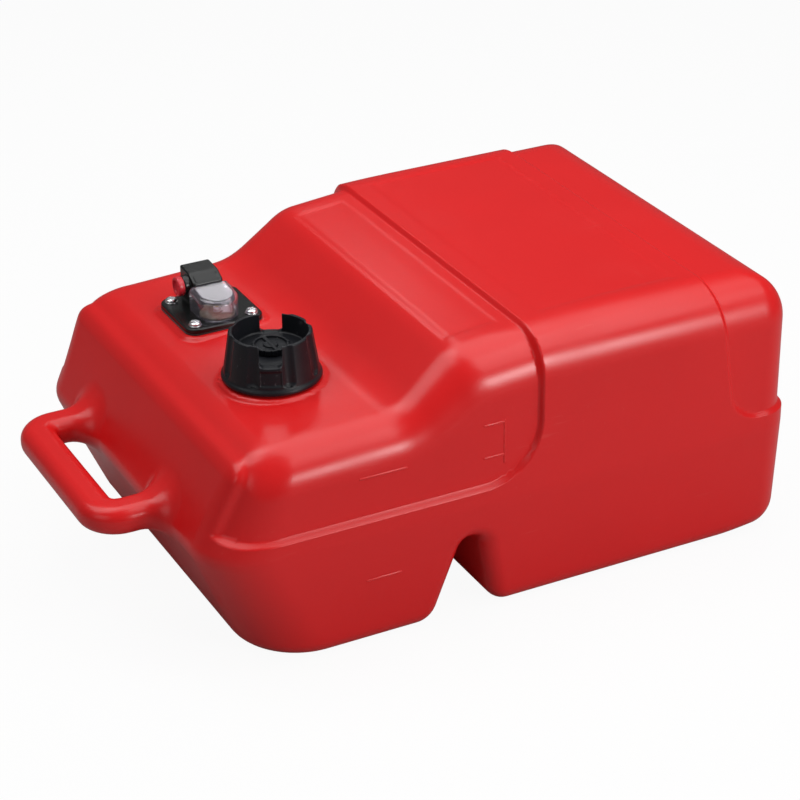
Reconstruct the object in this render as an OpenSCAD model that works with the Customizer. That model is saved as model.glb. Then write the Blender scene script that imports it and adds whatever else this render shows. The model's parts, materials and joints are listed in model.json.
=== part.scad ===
// Portable outboard fuel tank: a moulded tank with a carrying handle, a vented
// filler cap, and a withdrawal fitting that holds the float gauge and the outlet.
// X runs from the handle to the tall end, Y runs across, Z is up.
// The origin lies on the ground under the middle of the overall box.

/* [Tank] */
// Overall length, from the handle's front to the tall end
overall_l = 510; // [480:5:620]
// Width across the side walls
tank_w = 330; // [300:5:400]
// Height of the raised band, the highest part of the tank
tank_h = 207.5; // [200:0.5:250]
// Height of the fill deck at the filler and the gauge
deck_h = 162.3; // [150:0.1:175]
// Slope of the fill deck, rising towards the tall end
deck_pitch = 2.5; // [0:0.1:3]
// Thickness of the moulded wall
wall = 4; // [3:0.5:5]
// Depth by which the front panels lie below the band and the lower strip
panel_step = 4.5; // [2:0.5:6]
// Depth of the same step round the tall end
rear_step = 2.5; // [1:0.5:4]
// Height of the strip's upper edge on the sides
ledge_h = 102; // [92:1:112]
// Height of the front's foremost ridge
ridge_h = 89; // [84:1:96]
// Draft of each side wall below the ridge, as a width at the ground
side_draft = 6.5; // [0:0.5:10]
// Length of the raised band
band_l = 144; // [120:1:170]
// Length of the tall end behind the band
rear_l = 67.5; // [60:0.5:80]
// Length of the sloping upper deck before the band
upper_deck_l = 54; // [40:1:70]
// Length of the ramp between the two decks
ramp_l = 42; // [30:1:50]
// Height of the channel under the tank
channel_h = 62; // [40:1:70]
// Radius of the long upper edges
top_r = 35; // [25:1:40]
// Radius of the front's upright corners
corner_r = 42; // [35:1:55]
// Radius of the rear's upright corners
rear_corner_r = 24; // [15:1:35]
// Radius of the lower edges
bottom_r = 14; // [8:1:20]

/* [Handle] */
// Distance from the handle's front to the ridge
handle_reach = 51.5; // [48:0.5:60]
// Width of the handle across its arms
handle_w = 165; // [140:1:200]
// Width of the handle's tube, seen from above
tube_w = 26; // [22:1:28]
// Height of the handle's tube
tube_h = 21; // [18:1:24]
// Height of the tube's middle
handle_z = 95; // [90:1:100]

/* [Filler] */
// Bore radius of the filler neck
neck_bore_r = 21.5; // [18:0.5:26]
// Wall of the filler neck, with its thread
neck_wall = 3.5; // [2.5:0.1:5]
// Height of the neck above its seat
neck_h = 14; // [10:0.5:16]
// Height of the cap's crown above the neck's seat
cap_h = 35.4; // [33:0.1:40]
// Depth of the hand recess in the cap's crown
crown_depth = 14.7; // [10:0.1:16]
// Width of the two notches across the crown
notch_w = 15.5; // [10:0.5:20]
// Radius of the vent knob
knob_r = 13; // [10:0.5:15]

/* [Withdrawal fitting] */
// Outer radius of the hub that hangs through the tank's opening
hub_r = 23; // [21:0.5:28]
// Distance from the hub's side to the middle of each flange screw
screw_land = 8.1; // [7:0.1:12]
// Width of the square flange outside the middle of its screws
flange_margin = 8; // [6:0.5:12]
// Width of the tower
tower_w = 23; // [21:0.5:28]
// Height of the tower above the flange
tower_h = 24.5; // [24:0.5:32]
// Radius of the lens's round front
lens_r = 15.5; // [14:0.5:18]
// Bore radius of the outlet port
port_r = 4; // [3.5:0.25:5.5]
// Length of the outlet's boss outside the tower
port_l = 4.5; // [2:0.5:8]
// Width of the plug's flange round the port's bore
plug_rim = 3.25; // [3:0.05:4.5]
// Outer radius of the pickup tube
tube_r = 4; // [3:0.25:4.5]

/* [Float] */
// Length of the float arm, from its pivot to the float
arm_l = 95; // [70:1:100]
// Height of the arm's pivot above the ground
pivot_h = 88; // [84:1:94]
// Radius of the float
float_r = 13; // [9:0.5:15]
// Gap between the resting float and the tank's floor
float_gap = 10; // [4:0.5:16]

/* [Hidden] */
$fn = 64;

// Clearances
run_fit = 0.05;     // a shaft that turns or slides in its bore
press_gap = 0.02;   // a piece that is pressed in place
seat_gap = 0.3;     // a loose seat
reach = 900;        // longer than any size of the tank
edge_gap = 0.2;     // keeps the rounding blocks' sides off the side walls

// Outline of the tank along X
front_x = -overall_l / 2;
rear_x = overall_l / 2;
face_x = front_x + handle_reach;
bottom_x = face_x + 37.6;
deck_front_x = face_x + 30.7;
band_x1 = rear_x - rear_l;
band_x0 = band_x1 - band_l;
ramp_top_x = band_x0 - upper_deck_l;
ramp_foot_x = ramp_top_x - ramp_l;
half_w = tank_w / 2;
upper_h = tank_h - panel_step;
ramp_top_h = upper_h - 5;
band_lean = 15;     // how far the rear panel's front edge leans back
panel_r = 43;       // lower corner of the front side panel
rear_panel_r = 22;  // lower corner of the rear side panel
ridge_r = 14;
deck_edge_r = 30;
ramp_top_r = 36;
low_corner_r = 46;  // upright corners of the front's undercut

// Channel under the tank: foot, crown start, crown end, rear foot
channel_x = [band_x0 - 80, band_x0 - 58, band_x0 - 44, band_x0 - 32];
channel_r = [26, 8, 8, 13];

// Filler and gauge stand on flat seats on the sloping deck
seat_rise = 1.5;
seat_z = deck_h + seat_rise;
neck_r = neck_bore_r + neck_wall;
cap_at = [face_x + 97, -52];
gauge_at = [face_x + 100, 59];
fit_x = (cap_at.x + gauge_at.x) / 2;
boss_r = 38;
function deck_at(x) = deck_h + (x - fit_x) * tan(deck_pitch);
deck_front = [deck_front_x, deck_at(deck_front_x)];
ramp_foot = [ramp_foot_x, deck_at(ramp_foot_x)];
ramp_pitch = atan2(ramp_top_h - ramp_foot.y, ramp_l);

// Handle
bend_r = 16;
skin = 3.2;         // wall of the handle's tube

// Filler cap stack
rim_z = seat_z + neck_h;
gasket_t = 1.5;
core_ceiling = rim_z + gasket_t;
core_top = core_ceiling + 2.5;
core_in_r = neck_r + 1.5;
core_r = core_in_r + 1.8;
grip_base = seat_z + 1.9;
grip_top = seat_z + cap_h;
grip_floor_top = grip_top - crown_depth;
grip_floor = core_top + seat_gap;
grip_base_r = core_r + 6.7;
grip_skirt_r = core_r + 5.2;
grip_top_r = core_r + 0.5;
crown_wall = 2.6;
rib_r = 7;
notch_turn = -25;   // notches point a little forward of square to the side
flutes = 8;
knob_base = grip_floor_top + 0.4;
knob_h = 4.4;
stem_r = 3;
vent_boss_r = 7;
vent_boss_z = core_top - 14;
vent_seat_z = vent_boss_z + 3;
vent_chamber_r = 5;
vent_chamber_top = core_top - 5.8;
vent_seal_t = 1.9;

// Withdrawal fitting stack
screw_pitch = sqrt(2) * (hub_r + screw_land);
flange_w = screw_pitch + 2 * flange_margin;
gasket_top = seat_z + 1.2;
flange_top = gasket_top + 3.5;
flange_r = 9;
tower_top = flange_top + tower_h;
tower_y = [3, 29];  // tower's near and far faces, from the flange's middle
hub_bottom = seat_z - 14;
hub_wall = 2.5;
screw_r = 2.4;
washer_t = 0.8;
insert_r = 3.5;
insert_l = 9.5;
lens_y = -10.5;     // middle of the lens's round front, from the flange's middle
lens_wall = 1.8;
lens_front_h = 14.5;
lens_back_h = 17.5;
shaft_r = 1.5;
shaft_at = gauge_at + [0, lens_y];
dial_z = flange_top + 0.2;
pointer_z = dial_z + 1.6;
pointer_rest = -20; // direction of the pointer when the tank is empty

// Outlet: the pickup tube rises into the tower and turns towards the handle
riser_at = gauge_at + [0, 15];
outlet_z = tower_top - 10;
tube_top = flange_top + 1.5;
seat_ring_t = 2.5;
check_z = tube_top + 0.1 + seat_ring_t;
ball_r = 3;
ball_hole_r = 2.2;
ball_z = check_z + sqrt(ball_r * ball_r - ball_hole_r * ball_hole_r) + run_fit;
riser_r = tube_r + run_fit;
riser_top = tower_top - 3.5;
spring_wire = 0.5;
port_x = gauge_at.x - tower_w / 2;
bushing_r = port_r + 2;
bushing_in_x = gauge_at.x - riser_r - 0.5;
port_end = port_x - port_l;
plug_r = port_r + plug_rim;
plug_t = 3.6;
plug_x = port_end - 1.2;

// Float gauge
cage_y = 6;         // half the width of the cage's side plates
plate_x = 14;       // side plates, from the gauge's middle
plate_t = 2.5;
gear_m = 1;         // tooth size: pitch diameter over teeth
wheel_teeth = 40;
pinion_teeth = 16;
wheel_r = wheel_teeth * gear_m / 2;
pinion_r = pinion_teeth * gear_m / 2;
tooth_w = 1;
pinion_z = pivot_h + wheel_r;
pin_r = 2;
arm_x = 9;          // the wire arm's plane, from the gauge's middle
arm_r = 1.25;
float_x = [-32, 4]; // float's ends, from the gauge's middle
arm_droop = asin((pivot_h - wall - float_r - float_gap) / arm_l);
cage_top = hub_bottom - seat_gap;
web_z = pinion_z + 8;
strainer_z = wall + 2;
strainer_h = 18;
strainer_r = 7.5;

// Colours
tank_red = [0.80, 0.12, 0.14];
cap_black = [0.12, 0.13, 0.15];
fitting_black = [0.09, 0.10, 0.11];
rubber_black = [0.05, 0.05, 0.05];
brass_yellow = [0.78, 0.62, 0.30];
steel_grey = [0.78, 0.79, 0.80];
lens_smoke = [0.70, 0.66, 0.76, 0.5];
natural_white = [0.90, 0.89, 0.84];

// ---------- outlines ----------

function unit(v) = v / norm(v);
function cross2(a, b) = a.x * b.y - a.y * b.x;
function normal(a, b) = unit([a.y - b.y, b.x - a.x]);

// Move every side of an anticlockwise outline of corners [x, y, r] inwards by s
function inset(c, s) = let (n = len(c)) [for (i = [0:n - 1])
    let (a = c[(i + n - 1) % n], b = c[i], d = c[(i + 1) % n],
         before = normal(a, b), after = normal(b, d),
         shift = (before + after) * s / (1 + before * after),
         convex = cross2([b.x - a.x, b.y - a.y], [d.x - b.x, d.y - b.y]) > 0)
    [b.x + shift.x, b.y + shift.y, b[2] == 0 ? 0 : max(b[2] + (convex ? -s : s), 1)]];

// How far along a side an arc of radius r starts from the corner b
function arc_start(a, b, d, r) = r / tan(acos(unit(a - b) * unit(d - b)) / 2);
function is_convex(a, b, d) = cross2(b - a, d - b) > 0;

// Outline of corners [x, y, r], each rounded by a true arc of radius r
module rounded(c) {
    n = len(c);
    p = [for (q = c) [q.x, q.y]];
    // A hollow corner starts as the straight line between the ends of its arc
    chorded = [for (i = [0:n - 1])
        let (a = p[(i + n - 1) % n], b = p[i], d = p[(i + 1) % n], r = c[i][2])
        each r == 0 || is_convex(a, b, d) ? [b]
            : [b + unit(a - b) * arc_start(a, b, d, r), b + unit(d - b) * arc_start(a, b, d, r)]];
    difference() {
        polygon(chorded);
        for (i = [0:n - 1]) if (c[i][2] > 0)
            corner_cut(p[(i + n - 1) % n], p[i], p[(i + 1) % n], c[i][2]);
    }
}

// What an arc takes off: the tip of a convex corner, or a hollow corner's whole circle
module corner_cut(a, b, d, r) {
    u = unit(a - b);
    v = unit(d - b);
    middle = unit(u + v);
    t = arc_start(a, b, d, r);
    centre = b + middle * norm([r, t]);
    if (is_convex(a, b, d)) difference() {
        polygon([b + u * t, b - middle * 0.5, b + v * t]);
        translate(centre) circle(r);
    } else translate(centre) circle(r);
}

module rounded_square(w, r) {
    h = w / 2;
    rounded([[-h, -h, r], [h, -h, r], [h, h, r], [-h, h, r]]);
}

// Extrude an X-Z outline across the whole width
module across() rotate([90, 0, 0]) linear_extrude(reach, center = true) children();

// Place a shape at an X-Z point and lean it about Y
module leaning(at, angle) translate([at.x, 0, at.y]) rotate([0, angle, 0]) children();

// ---------- tank ----------

// Rounds the two upright edges of an end face through the point at, leaning by angle
module end_block(at, angle, w, r, s) leaning(at, angle) linear_extrude(reach, center = true)
    rounded([[s, -w - edge_gap, r], [reach, -w - edge_gap, 0],
        [reach, w + edge_gap, 0], [s, w + edge_gap, r]]);

// Rounds the two long edges of a top face through the point at, rising by pitch
module top_block(at, pitch, w, r, s) leaning(at, -pitch) rotate([90, 0, 90])
    linear_extrude(reach * 2, center = true)
        rounded([[-w - edge_gap, -reach, 0], [w + edge_gap, -reach, 0],
            [w + edge_gap, -s, r], [-w - edge_gap, -s, r]]);

// Side walls: upright above the ridge and drafted below it, rounded at the ground
module side_block(w, s) {
    low = w - side_draft;
    rotate([90, 0, 90]) linear_extrude(reach * 2, center = true)
        rounded([[-low, s, bottom_r - s / 2], [low, s, bottom_r - s / 2], [w, ridge_h, 0],
            [w, reach, 0], [-w, reach, 0], [-w, ridge_h, 0]]);
}

// The lower, front part of the tank under the fill deck
module low_form(w, s) intersection() {
    across() rounded(inset([[bottom_x, 0, bottom_r], [band_x0 - 118, 0, 0],
        [band_x0 - 118, channel_h + 35, 0], [ramp_foot_x + 25, channel_h + 35, 0],
        [ramp_foot_x + 25, deck_at(ramp_foot_x + 25), 0],
        [deck_front.x, deck_front.y, deck_edge_r], [face_x, ridge_h, ridge_r]], s));
    side_block(w, s);
    end_block([face_x, ridge_h], atan2(deck_front.x - face_x, deck_front.y - ridge_h), w, corner_r - s, s);
    end_block([bottom_x, 0], atan2(face_x - bottom_x, ridge_h), w, low_corner_r - s, s);
    top_block(deck_front, deck_pitch, w, top_r - 5 - s, s);
}

// The tall part of the tank, from the foot of the ramp to the rear
module tall_form(w, step, s) {
    start_x = band_x0 - 128;
    start_h = ramp_foot.y - (ramp_foot_x - start_x) * tan(ramp_pitch);
    top = tank_h - step;
    back = rear_x - step;
    intersection() {
        across() rounded(inset([[start_x - 2 * s, 0, 0], [channel_x[0], 0, channel_r[0]],
            [channel_x[1], channel_h, channel_r[1]], [channel_x[2], channel_h, channel_r[2]],
            [channel_x[3], 0, channel_r[3]], [back, 0, bottom_r], [back, top, top_r - step],
            [band_x0, top, 60], [ramp_top_x, ramp_top_h, ramp_top_r], [start_x - 2 * s, start_h, 0]], s));
        side_block(w, s);
        top_block(ramp_foot, ramp_pitch, w, top_r - s, s);
        top_block([0, top], 0, w, top_r - s, s);
        mirror([1, 0, 0]) end_block([-back, 0], 0, w, rear_corner_r - s, s);
    }
}

module form(step, s) {
    w = half_w - step - s;
    low_form(w, s);
    tall_form(w, step, s);
}

// The strip and the band, which stand proud of the panels, seen from the side
module proud_region(s) {
    lean = band_lean / (tank_h - ledge_h);
    across() rounded(inset([[-reach, -reach, 0], [reach, -reach, 0], [reach, ledge_h, 0],
        [band_x1 + band_lean, ledge_h, rear_panel_r],
        [band_x1 + band_lean - lean * reach, ledge_h + reach, 0], [band_x0, ledge_h + reach, 0],
        [band_x0, ledge_h, panel_r], [-reach, ledge_h, 0]], s));
}

// The tall end's upper walls, which lie a smaller step below the band and the strip
module rear_form(s) {
    w = half_w - rear_step - s;
    start_x = band_x1 - band_l / 2;
    start_z = ledge_h - 12;
    top = tank_h - rear_step;
    back = rear_x - rear_step;
    intersection() {
        across() rounded(inset([[start_x, start_z, 0], [back, start_z, 0],
            [back, top, top_r - rear_step], [start_x, top, 0]], s));
        side_block(w, s);
        top_block([0, top], 0, w, top_r - s, s);
        mirror([1, 0, 0]) end_block([-back, 0], 0, w, rear_corner_r - s, s);
    }
}

module tank_form(s) {
    intersection() {
        form(0, s);
        proud_region(s);
    }
    form(panel_step, s);
    rear_form(s);
}

// Oval tube of the handle, inset by s, bent round two corners
module handle_tube(s) {
    w = tube_w - 2 * s;
    h = tube_h - 2 * s;
    r = h / 2 - 0.5;
    side = handle_w / 2 - tube_w / 2;
    bar_x = front_x + tube_w / 2;
    translate([0, 0, handle_z]) {
        translate([bar_x, 0, 0]) rotate([90, 0, 0])
            linear_extrude(2 * (side - bend_r), center = true) tube_outline(w, h, r);
        for (m = [0, 1]) mirror([0, m, 0]) {
            translate([bar_x + bend_r, side - bend_r, 0]) rotate([0, 0, 90]) rotate_extrude(angle = 90)
                translate([bend_r, 0]) tube_outline(w, h, r);
            translate([bar_x + bend_r, side, 0]) rotate([90, 0, 90])
                linear_extrude(face_x - bar_x - bend_r + 9) tube_outline(w, h, r);
        }
    }
}

module tube_outline(w, h, r)
    rounded([[-w / 2, -h / 2, r], [w / 2, -h / 2, r], [w / 2, h / 2, r], [-w / 2, h / 2, r]]);

module at_screws() for (x = [-1, 1], y = [-1, 1])
    translate([gauge_at.x + x * screw_pitch / 2, gauge_at.y + y * screw_pitch / 2, 0]) children();

module at_cap() translate([cap_at.x, cap_at.y, 0]) children();
module at_gauge() translate([gauge_at.x, gauge_at.y, 0]) children();

module tank_shell() color(tank_red) difference() {
    union() {
        tank_form(0);
        handle_tube(0);
        at_cap() {
            translate([0, 0, seat_z - 6]) cylinder(h = 6, r1 = boss_r + 6, r2 = boss_r);
            translate([0, 0, seat_z - wall]) cylinder(h = wall + neck_h, r = neck_r);
        }
        at_gauge() translate([0, 0, seat_z - 6])
            linear_extrude(6) rounded_square(flange_w + 6, flange_r + 3);
    }
    difference() {
        tank_form(wall);
        at_screws() translate([0, 0, seat_z - insert_l - wall])
            cylinder(h = insert_l + wall, r = insert_r + 3);
    }
    handle_tube(skin);
    at_cap() translate([0, 0, seat_z - 4 * wall]) cylinder(h = neck_h + 5 * wall, r = neck_bore_r);
    at_gauge() translate([0, 0, seat_z - 4 * wall]) cylinder(h = 5 * wall, r = hub_r + 0.5);
    at_screws() translate([0, 0, seat_z - insert_l - 0.5])
        cylinder(h = insert_l + 1, r = insert_r + press_gap);
}

module flange_inserts() color(brass_yellow) at_screws() translate([0, 0, seat_z - insert_l]) difference() {
    cylinder(h = insert_l, r = insert_r);
    translate([0, 0, -1]) cylinder(h = insert_l + 2, r = screw_r + run_fit);
}

// ---------- filler cap ----------

// Castle-shaped grip: a fluted skirt and two tall crescents round a recess
module cap_grip() color(cap_black) at_cap() difference() {
    rotate_extrude() polygon([[core_r + seat_gap, grip_base], [grip_base_r, grip_base],
        [grip_base_r, grip_base + 2.2], [grip_skirt_r, grip_base + 3.4], [grip_top_r + 0.6, grip_top - 1.2],
        [grip_top_r - 0.6, grip_top], [grip_top_r - crown_wall, grip_top],
        [grip_top_r - crown_wall, grip_floor_top], [0, grip_floor_top], [0, grip_floor],
        [core_r + seat_gap, grip_floor]]);
    translate([0, 0, grip_floor - 1]) cylinder(h = 9, r = vent_chamber_r + 0.2);
    rotate([0, 0, notch_turn]) translate([-notch_w / 2, -grip_base_r - 1, grip_floor_top])
        cube([notch_w, 2 * grip_base_r + 2, crown_depth + 1]);
    for (i = [0:flutes - 1]) rotate([0, 0, notch_turn + (i + 0.5) * 360 / flutes])
        translate([grip_skirt_r + rib_r - 2.2, 0, grip_base + 4.5])
            rotate([0, -8.5, 0]) cylinder(h = 60, r = rib_r);
}

// Threaded cup that screws over the neck, with the vent's seat in its middle
module cap_core() color(cap_black) at_cap() difference() {
    rotate_extrude() polygon([[0, vent_boss_z], [vent_boss_r, vent_boss_z], [vent_boss_r, core_ceiling],
        [core_in_r, core_ceiling], [core_in_r, seat_z + 2.4], [core_r, seat_z + 2.4],
        [core_r, core_top], [0, core_top]]);
    translate([0, 0, vent_boss_z - 1]) cylinder(h = 8, r = 1.6);
    translate([0, 0, vent_seat_z]) cylinder(h = vent_chamber_top - vent_seat_z, r = vent_chamber_r);
    translate([0, 0, vent_chamber_top - 1]) cylinder(h = 20, r = stem_r + run_fit);
    for (a = [0, 180]) rotate([0, 0, a]) translate([stem_r + 1.2, 0, vent_chamber_top - 1])
        cylinder(h = 20, r = 0.6);
}

module cap_gasket() color(rubber_black) at_cap() translate([0, 0, rim_z + 0.1]) difference() {
    cylinder(h = gasket_t - 0.2, r = core_in_r - seat_gap);
    translate([0, 0, -1]) cylinder(h = gasket_t + 2, r = neck_bore_r + 0.2);
}

module vent_knob() color(cap_black) at_cap() {
    translate([0, 0, knob_base]) difference() {
        cylinder(h = knob_h, r = knob_r);
        translate([0, 0, knob_h - 2]) difference() {
            cylinder(h = 3, r = knob_r - 2);
            cylinder(h = 1.4, r = stem_r + 2);
            translate([-1.5, -knob_r, -1]) cube([3, 2 * knob_r, 2.6]);
        }
        for (i = [0:15]) rotate([0, 0, i * 360 / 16]) translate([knob_r + 0.4, 0, -1])
            cylinder(h = knob_h + 2, r = 1);
    }
    translate([0, 0, vent_seat_z + vent_seal_t + 0.1])
        cylinder(h = knob_base - vent_seat_z - vent_seal_t, r = stem_r);
}

module vent_seal() color(rubber_black) at_cap() translate([0, 0, vent_seat_z + run_fit])
    cylinder(h = vent_seal_t, r = vent_chamber_r - 1);

// Cup under the vent that keeps splashed fuel out of it
module splash_guard() color(natural_white) at_cap() translate([0, 0, vent_boss_z - 3.5]) difference() {
    cylinder(h = 7.5, r = vent_boss_r + 1.8);
    translate([0, 0, 1.2]) cylinder(h = 7.5, r = vent_boss_r + 0.2);
    for (a = [0:90:270]) rotate([0, 0, a]) translate([3.5, 0, -1]) cylinder(h = 4, r = 1.2);
}

// ---------- withdrawal fitting ----------

module gauge_gasket() color(rubber_black) translate([0, 0, seat_z]) difference() {
    at_gauge() linear_extrude(gasket_top - seat_z) difference() {
        rounded_square(flange_w, flange_r);
        circle(hub_r + 0.2);
    }
    at_screws() translate([0, 0, -1]) cylinder(h = 4, r = screw_r + 0.4);
}

module gauge_housing() color(fitting_black) difference() {
    union() {
        at_gauge() {
            translate([0, 0, gasket_top])
                linear_extrude(flange_top - gasket_top) rounded_square(flange_w, flange_r);
            translate([0, 0, hub_bottom]) cylinder(h = gasket_top - hub_bottom + 1, r = hub_r);
            translate([0, 0, gasket_top + 1]) rotate([90, 0, 90]) linear_extrude(tower_w, center = true)
                rounded([[tower_y[0], 0, 0], [tower_y[1], 0, 0],
                    [tower_y[1], tower_top - gasket_top - 1, 1.5],
                    [tower_y[0] + 9, tower_top - gasket_top - 1.8, 2],
                    [tower_y[0], tower_top - gasket_top - 6.5, 2]]);
        }
        translate([riser_at.x, riser_at.y, hub_bottom + 1]) cylinder(h = 16, r = tube_r + 1.2);
        out_of_port(port_x + 1) cylinder(h = port_l + 1, r = bushing_r + 1.2);
    }
    difference() {
        at_gauge() translate([0, 0, hub_bottom - 1])
            cylinder(h = gasket_top - hub_bottom + 1, r = hub_r - hub_wall);
        translate([riser_at.x, riser_at.y, hub_bottom + 1]) cylinder(h = 30, r = tube_r + 1.2);
    }
    translate([riser_at.x, riser_at.y, hub_bottom]) cylinder(h = riser_top - hub_bottom, r = riser_r);
    out_of_port(gauge_at.x) cylinder(h = tower_w, r = port_r - 2);
    out_of_port(bushing_in_x) cylinder(h = tower_w, r = bushing_r + press_gap);
    translate([shaft_at.x, shaft_at.y, gasket_top - 1]) cylinder(h = 10, r = shaft_r + run_fit);
    at_screws() translate([0, 0, gasket_top - 1]) cylinder(h = 10, r = screw_r + 0.4);
}

module screw_washers() color(steel_grey) at_screws() translate([0, 0, flange_top]) difference() {
    cylinder(h = washer_t, r = screw_r + 2.4);
    translate([0, 0, -1]) cylinder(h = 3, r = screw_r + 0.2);
}

module flange_screws() color(steel_grey) at_screws() difference() {
    union() {
        translate([0, 0, seat_z - insert_l + 1])
            cylinder(h = flange_top + washer_t - seat_z + insert_l, r = screw_r);
        translate([0, 0, flange_top + washer_t]) {
            cylinder(h = 1.6, r = screw_r + 1.8);
            translate([0, 0, 1.6]) cylinder(h = 1, r1 = screw_r + 1.8, r2 = screw_r + 0.6);
        }
    }
    for (a = [0, 90]) rotate([0, 0, a])
        translate([-2.6, -0.5, flange_top + washer_t + 1.4]) cube([5.2, 1, 3]);
}

// Outline of the lens: round at the front, straight to the tower at the back
module lens_outline(r) {
    circle(r);
    translate([-r, 0]) square([2 * r, tower_y[0] - lens_y - 0.1]);
}

module gauge_lens() color(lens_smoke) translate([shaft_at.x, shaft_at.y, flange_top]) difference() {
    intersection() {
        linear_extrude(lens_back_h + 1) lens_outline(lens_r);
        rotate([90, 0, 90]) linear_extrude(3 * lens_r, center = true) lens_side(lens_r, 0);
    }
    translate([0, 0, -1]) intersection() {
        linear_extrude(lens_back_h + 1) lens_outline(lens_r - lens_wall);
        rotate([90, 0, 90]) linear_extrude(3 * lens_r, center = true) lens_side(lens_r, lens_wall - 1);
    }
}

module lens_side(r, s) rounded([[-r, -2, 0], [tower_y[0] - lens_y, -2, 0],
    [tower_y[0] - lens_y, lens_back_h - s, 0], [-r, lens_front_h - s, 4]]);

module dial_plate() color(natural_white) translate([shaft_at.x, shaft_at.y, dial_z]) difference() {
    cylinder(h = 1, r = lens_r - lens_wall - 1);
    translate([0, 0, -1]) cylinder(h = 3, r = shaft_r + 0.6);
}

module pointer() color(natural_white) translate([shaft_at.x, shaft_at.y, pointer_z])
    rotate([0, 0, pointer_rest]) difference() {
        union() {
            cylinder(h = 2.4, r = shaft_r + 1.3);
            translate([0, -1.2, 0]) cube([6, 2.4, 1]);
            intersection() {
                difference() {
                    cylinder(h = 6, r = 11);
                    translate([0, 0, 1]) cylinder(h = 6, r = 10);
                    translate([0, 0, -1]) cylinder(h = 3, r = 5);
                }
                translate([0, -4.2, 0]) cube([12, 8.4, 6]);
            }
        }
        translate([0, 0, -1]) cylinder(h = 6, r = shaft_r + press_gap);
    }

module drive_shaft() color(brass_yellow) translate([shaft_at.x, shaft_at.y, pinion_z - 3.5])
    cylinder(h = pointer_z + 3 - pinion_z + 3.5, r = shaft_r);

module drive_pinion() color(natural_white)
        translate([shaft_at.x, shaft_at.y, pinion_z - 2.5]) difference() {
    union() {
        cylinder(h = 5, r = pinion_r - 1.1);
        for (i = [0:pinion_teeth - 1]) rotate([0, 0, (i + 0.5) * 360 / pinion_teeth])
            translate([pinion_r - 2, -tooth_w / 2, 0]) cube([2.7, tooth_w, 5]);
    }
    translate([0, 0, -1]) cylinder(h = 8, r = shaft_r + press_gap);
}

// Frame that hangs from the hub and carries the arm's pivot and the shaft's foot
module gear_cage() color(fitting_black) difference() {
    union() {
        at_gauge() translate([0, 0, cage_top - 3]) cylinder(h = 3, r = hub_r - 0.2);
        for (x = [-plate_x, plate_x])
            translate([shaft_at.x + x - plate_t / 2, shaft_at.y - cage_y, pivot_h - 7])
                cube([plate_t, 2 * cage_y, cage_top - 1 - pivot_h + 7]);
        translate([shaft_at.x - plate_x, shaft_at.y - cage_y, web_z]) cube([2 * plate_x, 2 * cage_y, 2.5]);
    }
    translate([shaft_at.x, shaft_at.y, web_z - 1]) cylinder(h = 60, r = shaft_r + run_fit);
    translate([riser_at.x, riser_at.y, cage_top - 5]) cylinder(h = 8, r = tube_r + run_fit);
    translate([gauge_at.x - 13, gauge_at.y + 5, cage_top - 5]) cylinder(h = 8, r = 3);
    translate([shaft_at.x, shaft_at.y, pivot_h]) rotate([0, 90, 0])
        cylinder(h = 3 * plate_x, r = pin_r + press_gap, center = true);
}

module pivot_pin() color(brass_yellow) translate([shaft_at.x, shaft_at.y, pivot_h]) rotate([0, 90, 0])
    cylinder(h = 2 * plate_x + plate_t + 2, r = pin_r, center = true);

// Turn a shape from the X-Y plane so that its own X lies along the arm at rest
module along_arm() translate([shaft_at.x, shaft_at.y, pivot_h]) rotate([180 + arm_droop, 0, 0]) children();

// Crown wheel and hub on one moulding, with the socket for the wire arm
module arm_gear() color(natural_white) difference() {
    union() {
        translate([shaft_at.x, shaft_at.y, pivot_h]) rotate([0, 90, 0]) {
            translate([0, 0, -9.5]) cylinder(h = 21, r = 4.5);
            translate([0, 0, -12]) cylinder(h = 2.5, r = wheel_r + 1.2);
            for (i = [0:wheel_teeth - 1]) rotate([0, 0, i * 360 / wheel_teeth])
                translate([wheel_r - 2.8, -tooth_w / 2, -10]) cube([4, tooth_w, 2.3]);
        }
        along_arm() translate([arm_x, 0, 0]) rotate([-90, 0, 0]) cylinder(h = 13, r = 2.5);
    }
    translate([shaft_at.x, shaft_at.y, pivot_h]) rotate([0, 90, 0])
        cylinder(h = 60, r = pin_r + run_fit, center = true);
    along_arm() translate([arm_x, 5, 0]) rotate([-90, 0, 0]) cylinder(h = 20, r = arm_r + press_gap);
}

module float_arm() color(steel_grey) along_arm() {
    translate([arm_x, 5.2, 0]) rotate([-90, 0, 0]) cylinder(h = arm_l - 5.2, r = arm_r);
    translate([arm_x, arm_l, 0]) sphere(r = arm_r);
    translate([arm_x, arm_l, 0]) rotate([0, -90, 0]) cylinder(h = arm_x - float_x[0] + 3, r = arm_r);
}

module float() color(natural_white)
        along_arm() translate([float_x[0], arm_l, 0]) rotate([0, 90, 0]) difference() {
    cylinder(h = float_x[1] - float_x[0], r = float_r);
    translate([0, 0, -1]) cylinder(h = float_x[1] - float_x[0] + 2, r = arm_r + press_gap);
}

module float_clip() color(steel_grey)
        along_arm() translate([float_x[0] - 1.1, arm_l, 0]) rotate([0, 90, 0]) difference() {
    cylinder(h = 0.8, r = 4);
    translate([0, 0, -1]) cylinder(h = 3, r = arm_r + press_gap);
}

// ---------- fuel path ----------

module pickup_tube() color(natural_white)
        translate([riser_at.x, riser_at.y, strainer_z + 8]) difference() {
    cylinder(h = tube_top - strainer_z - 8, r = tube_r);
    translate([0, 0, -1]) cylinder(h = tube_top, r = tube_r - 1.2);
}

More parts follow.
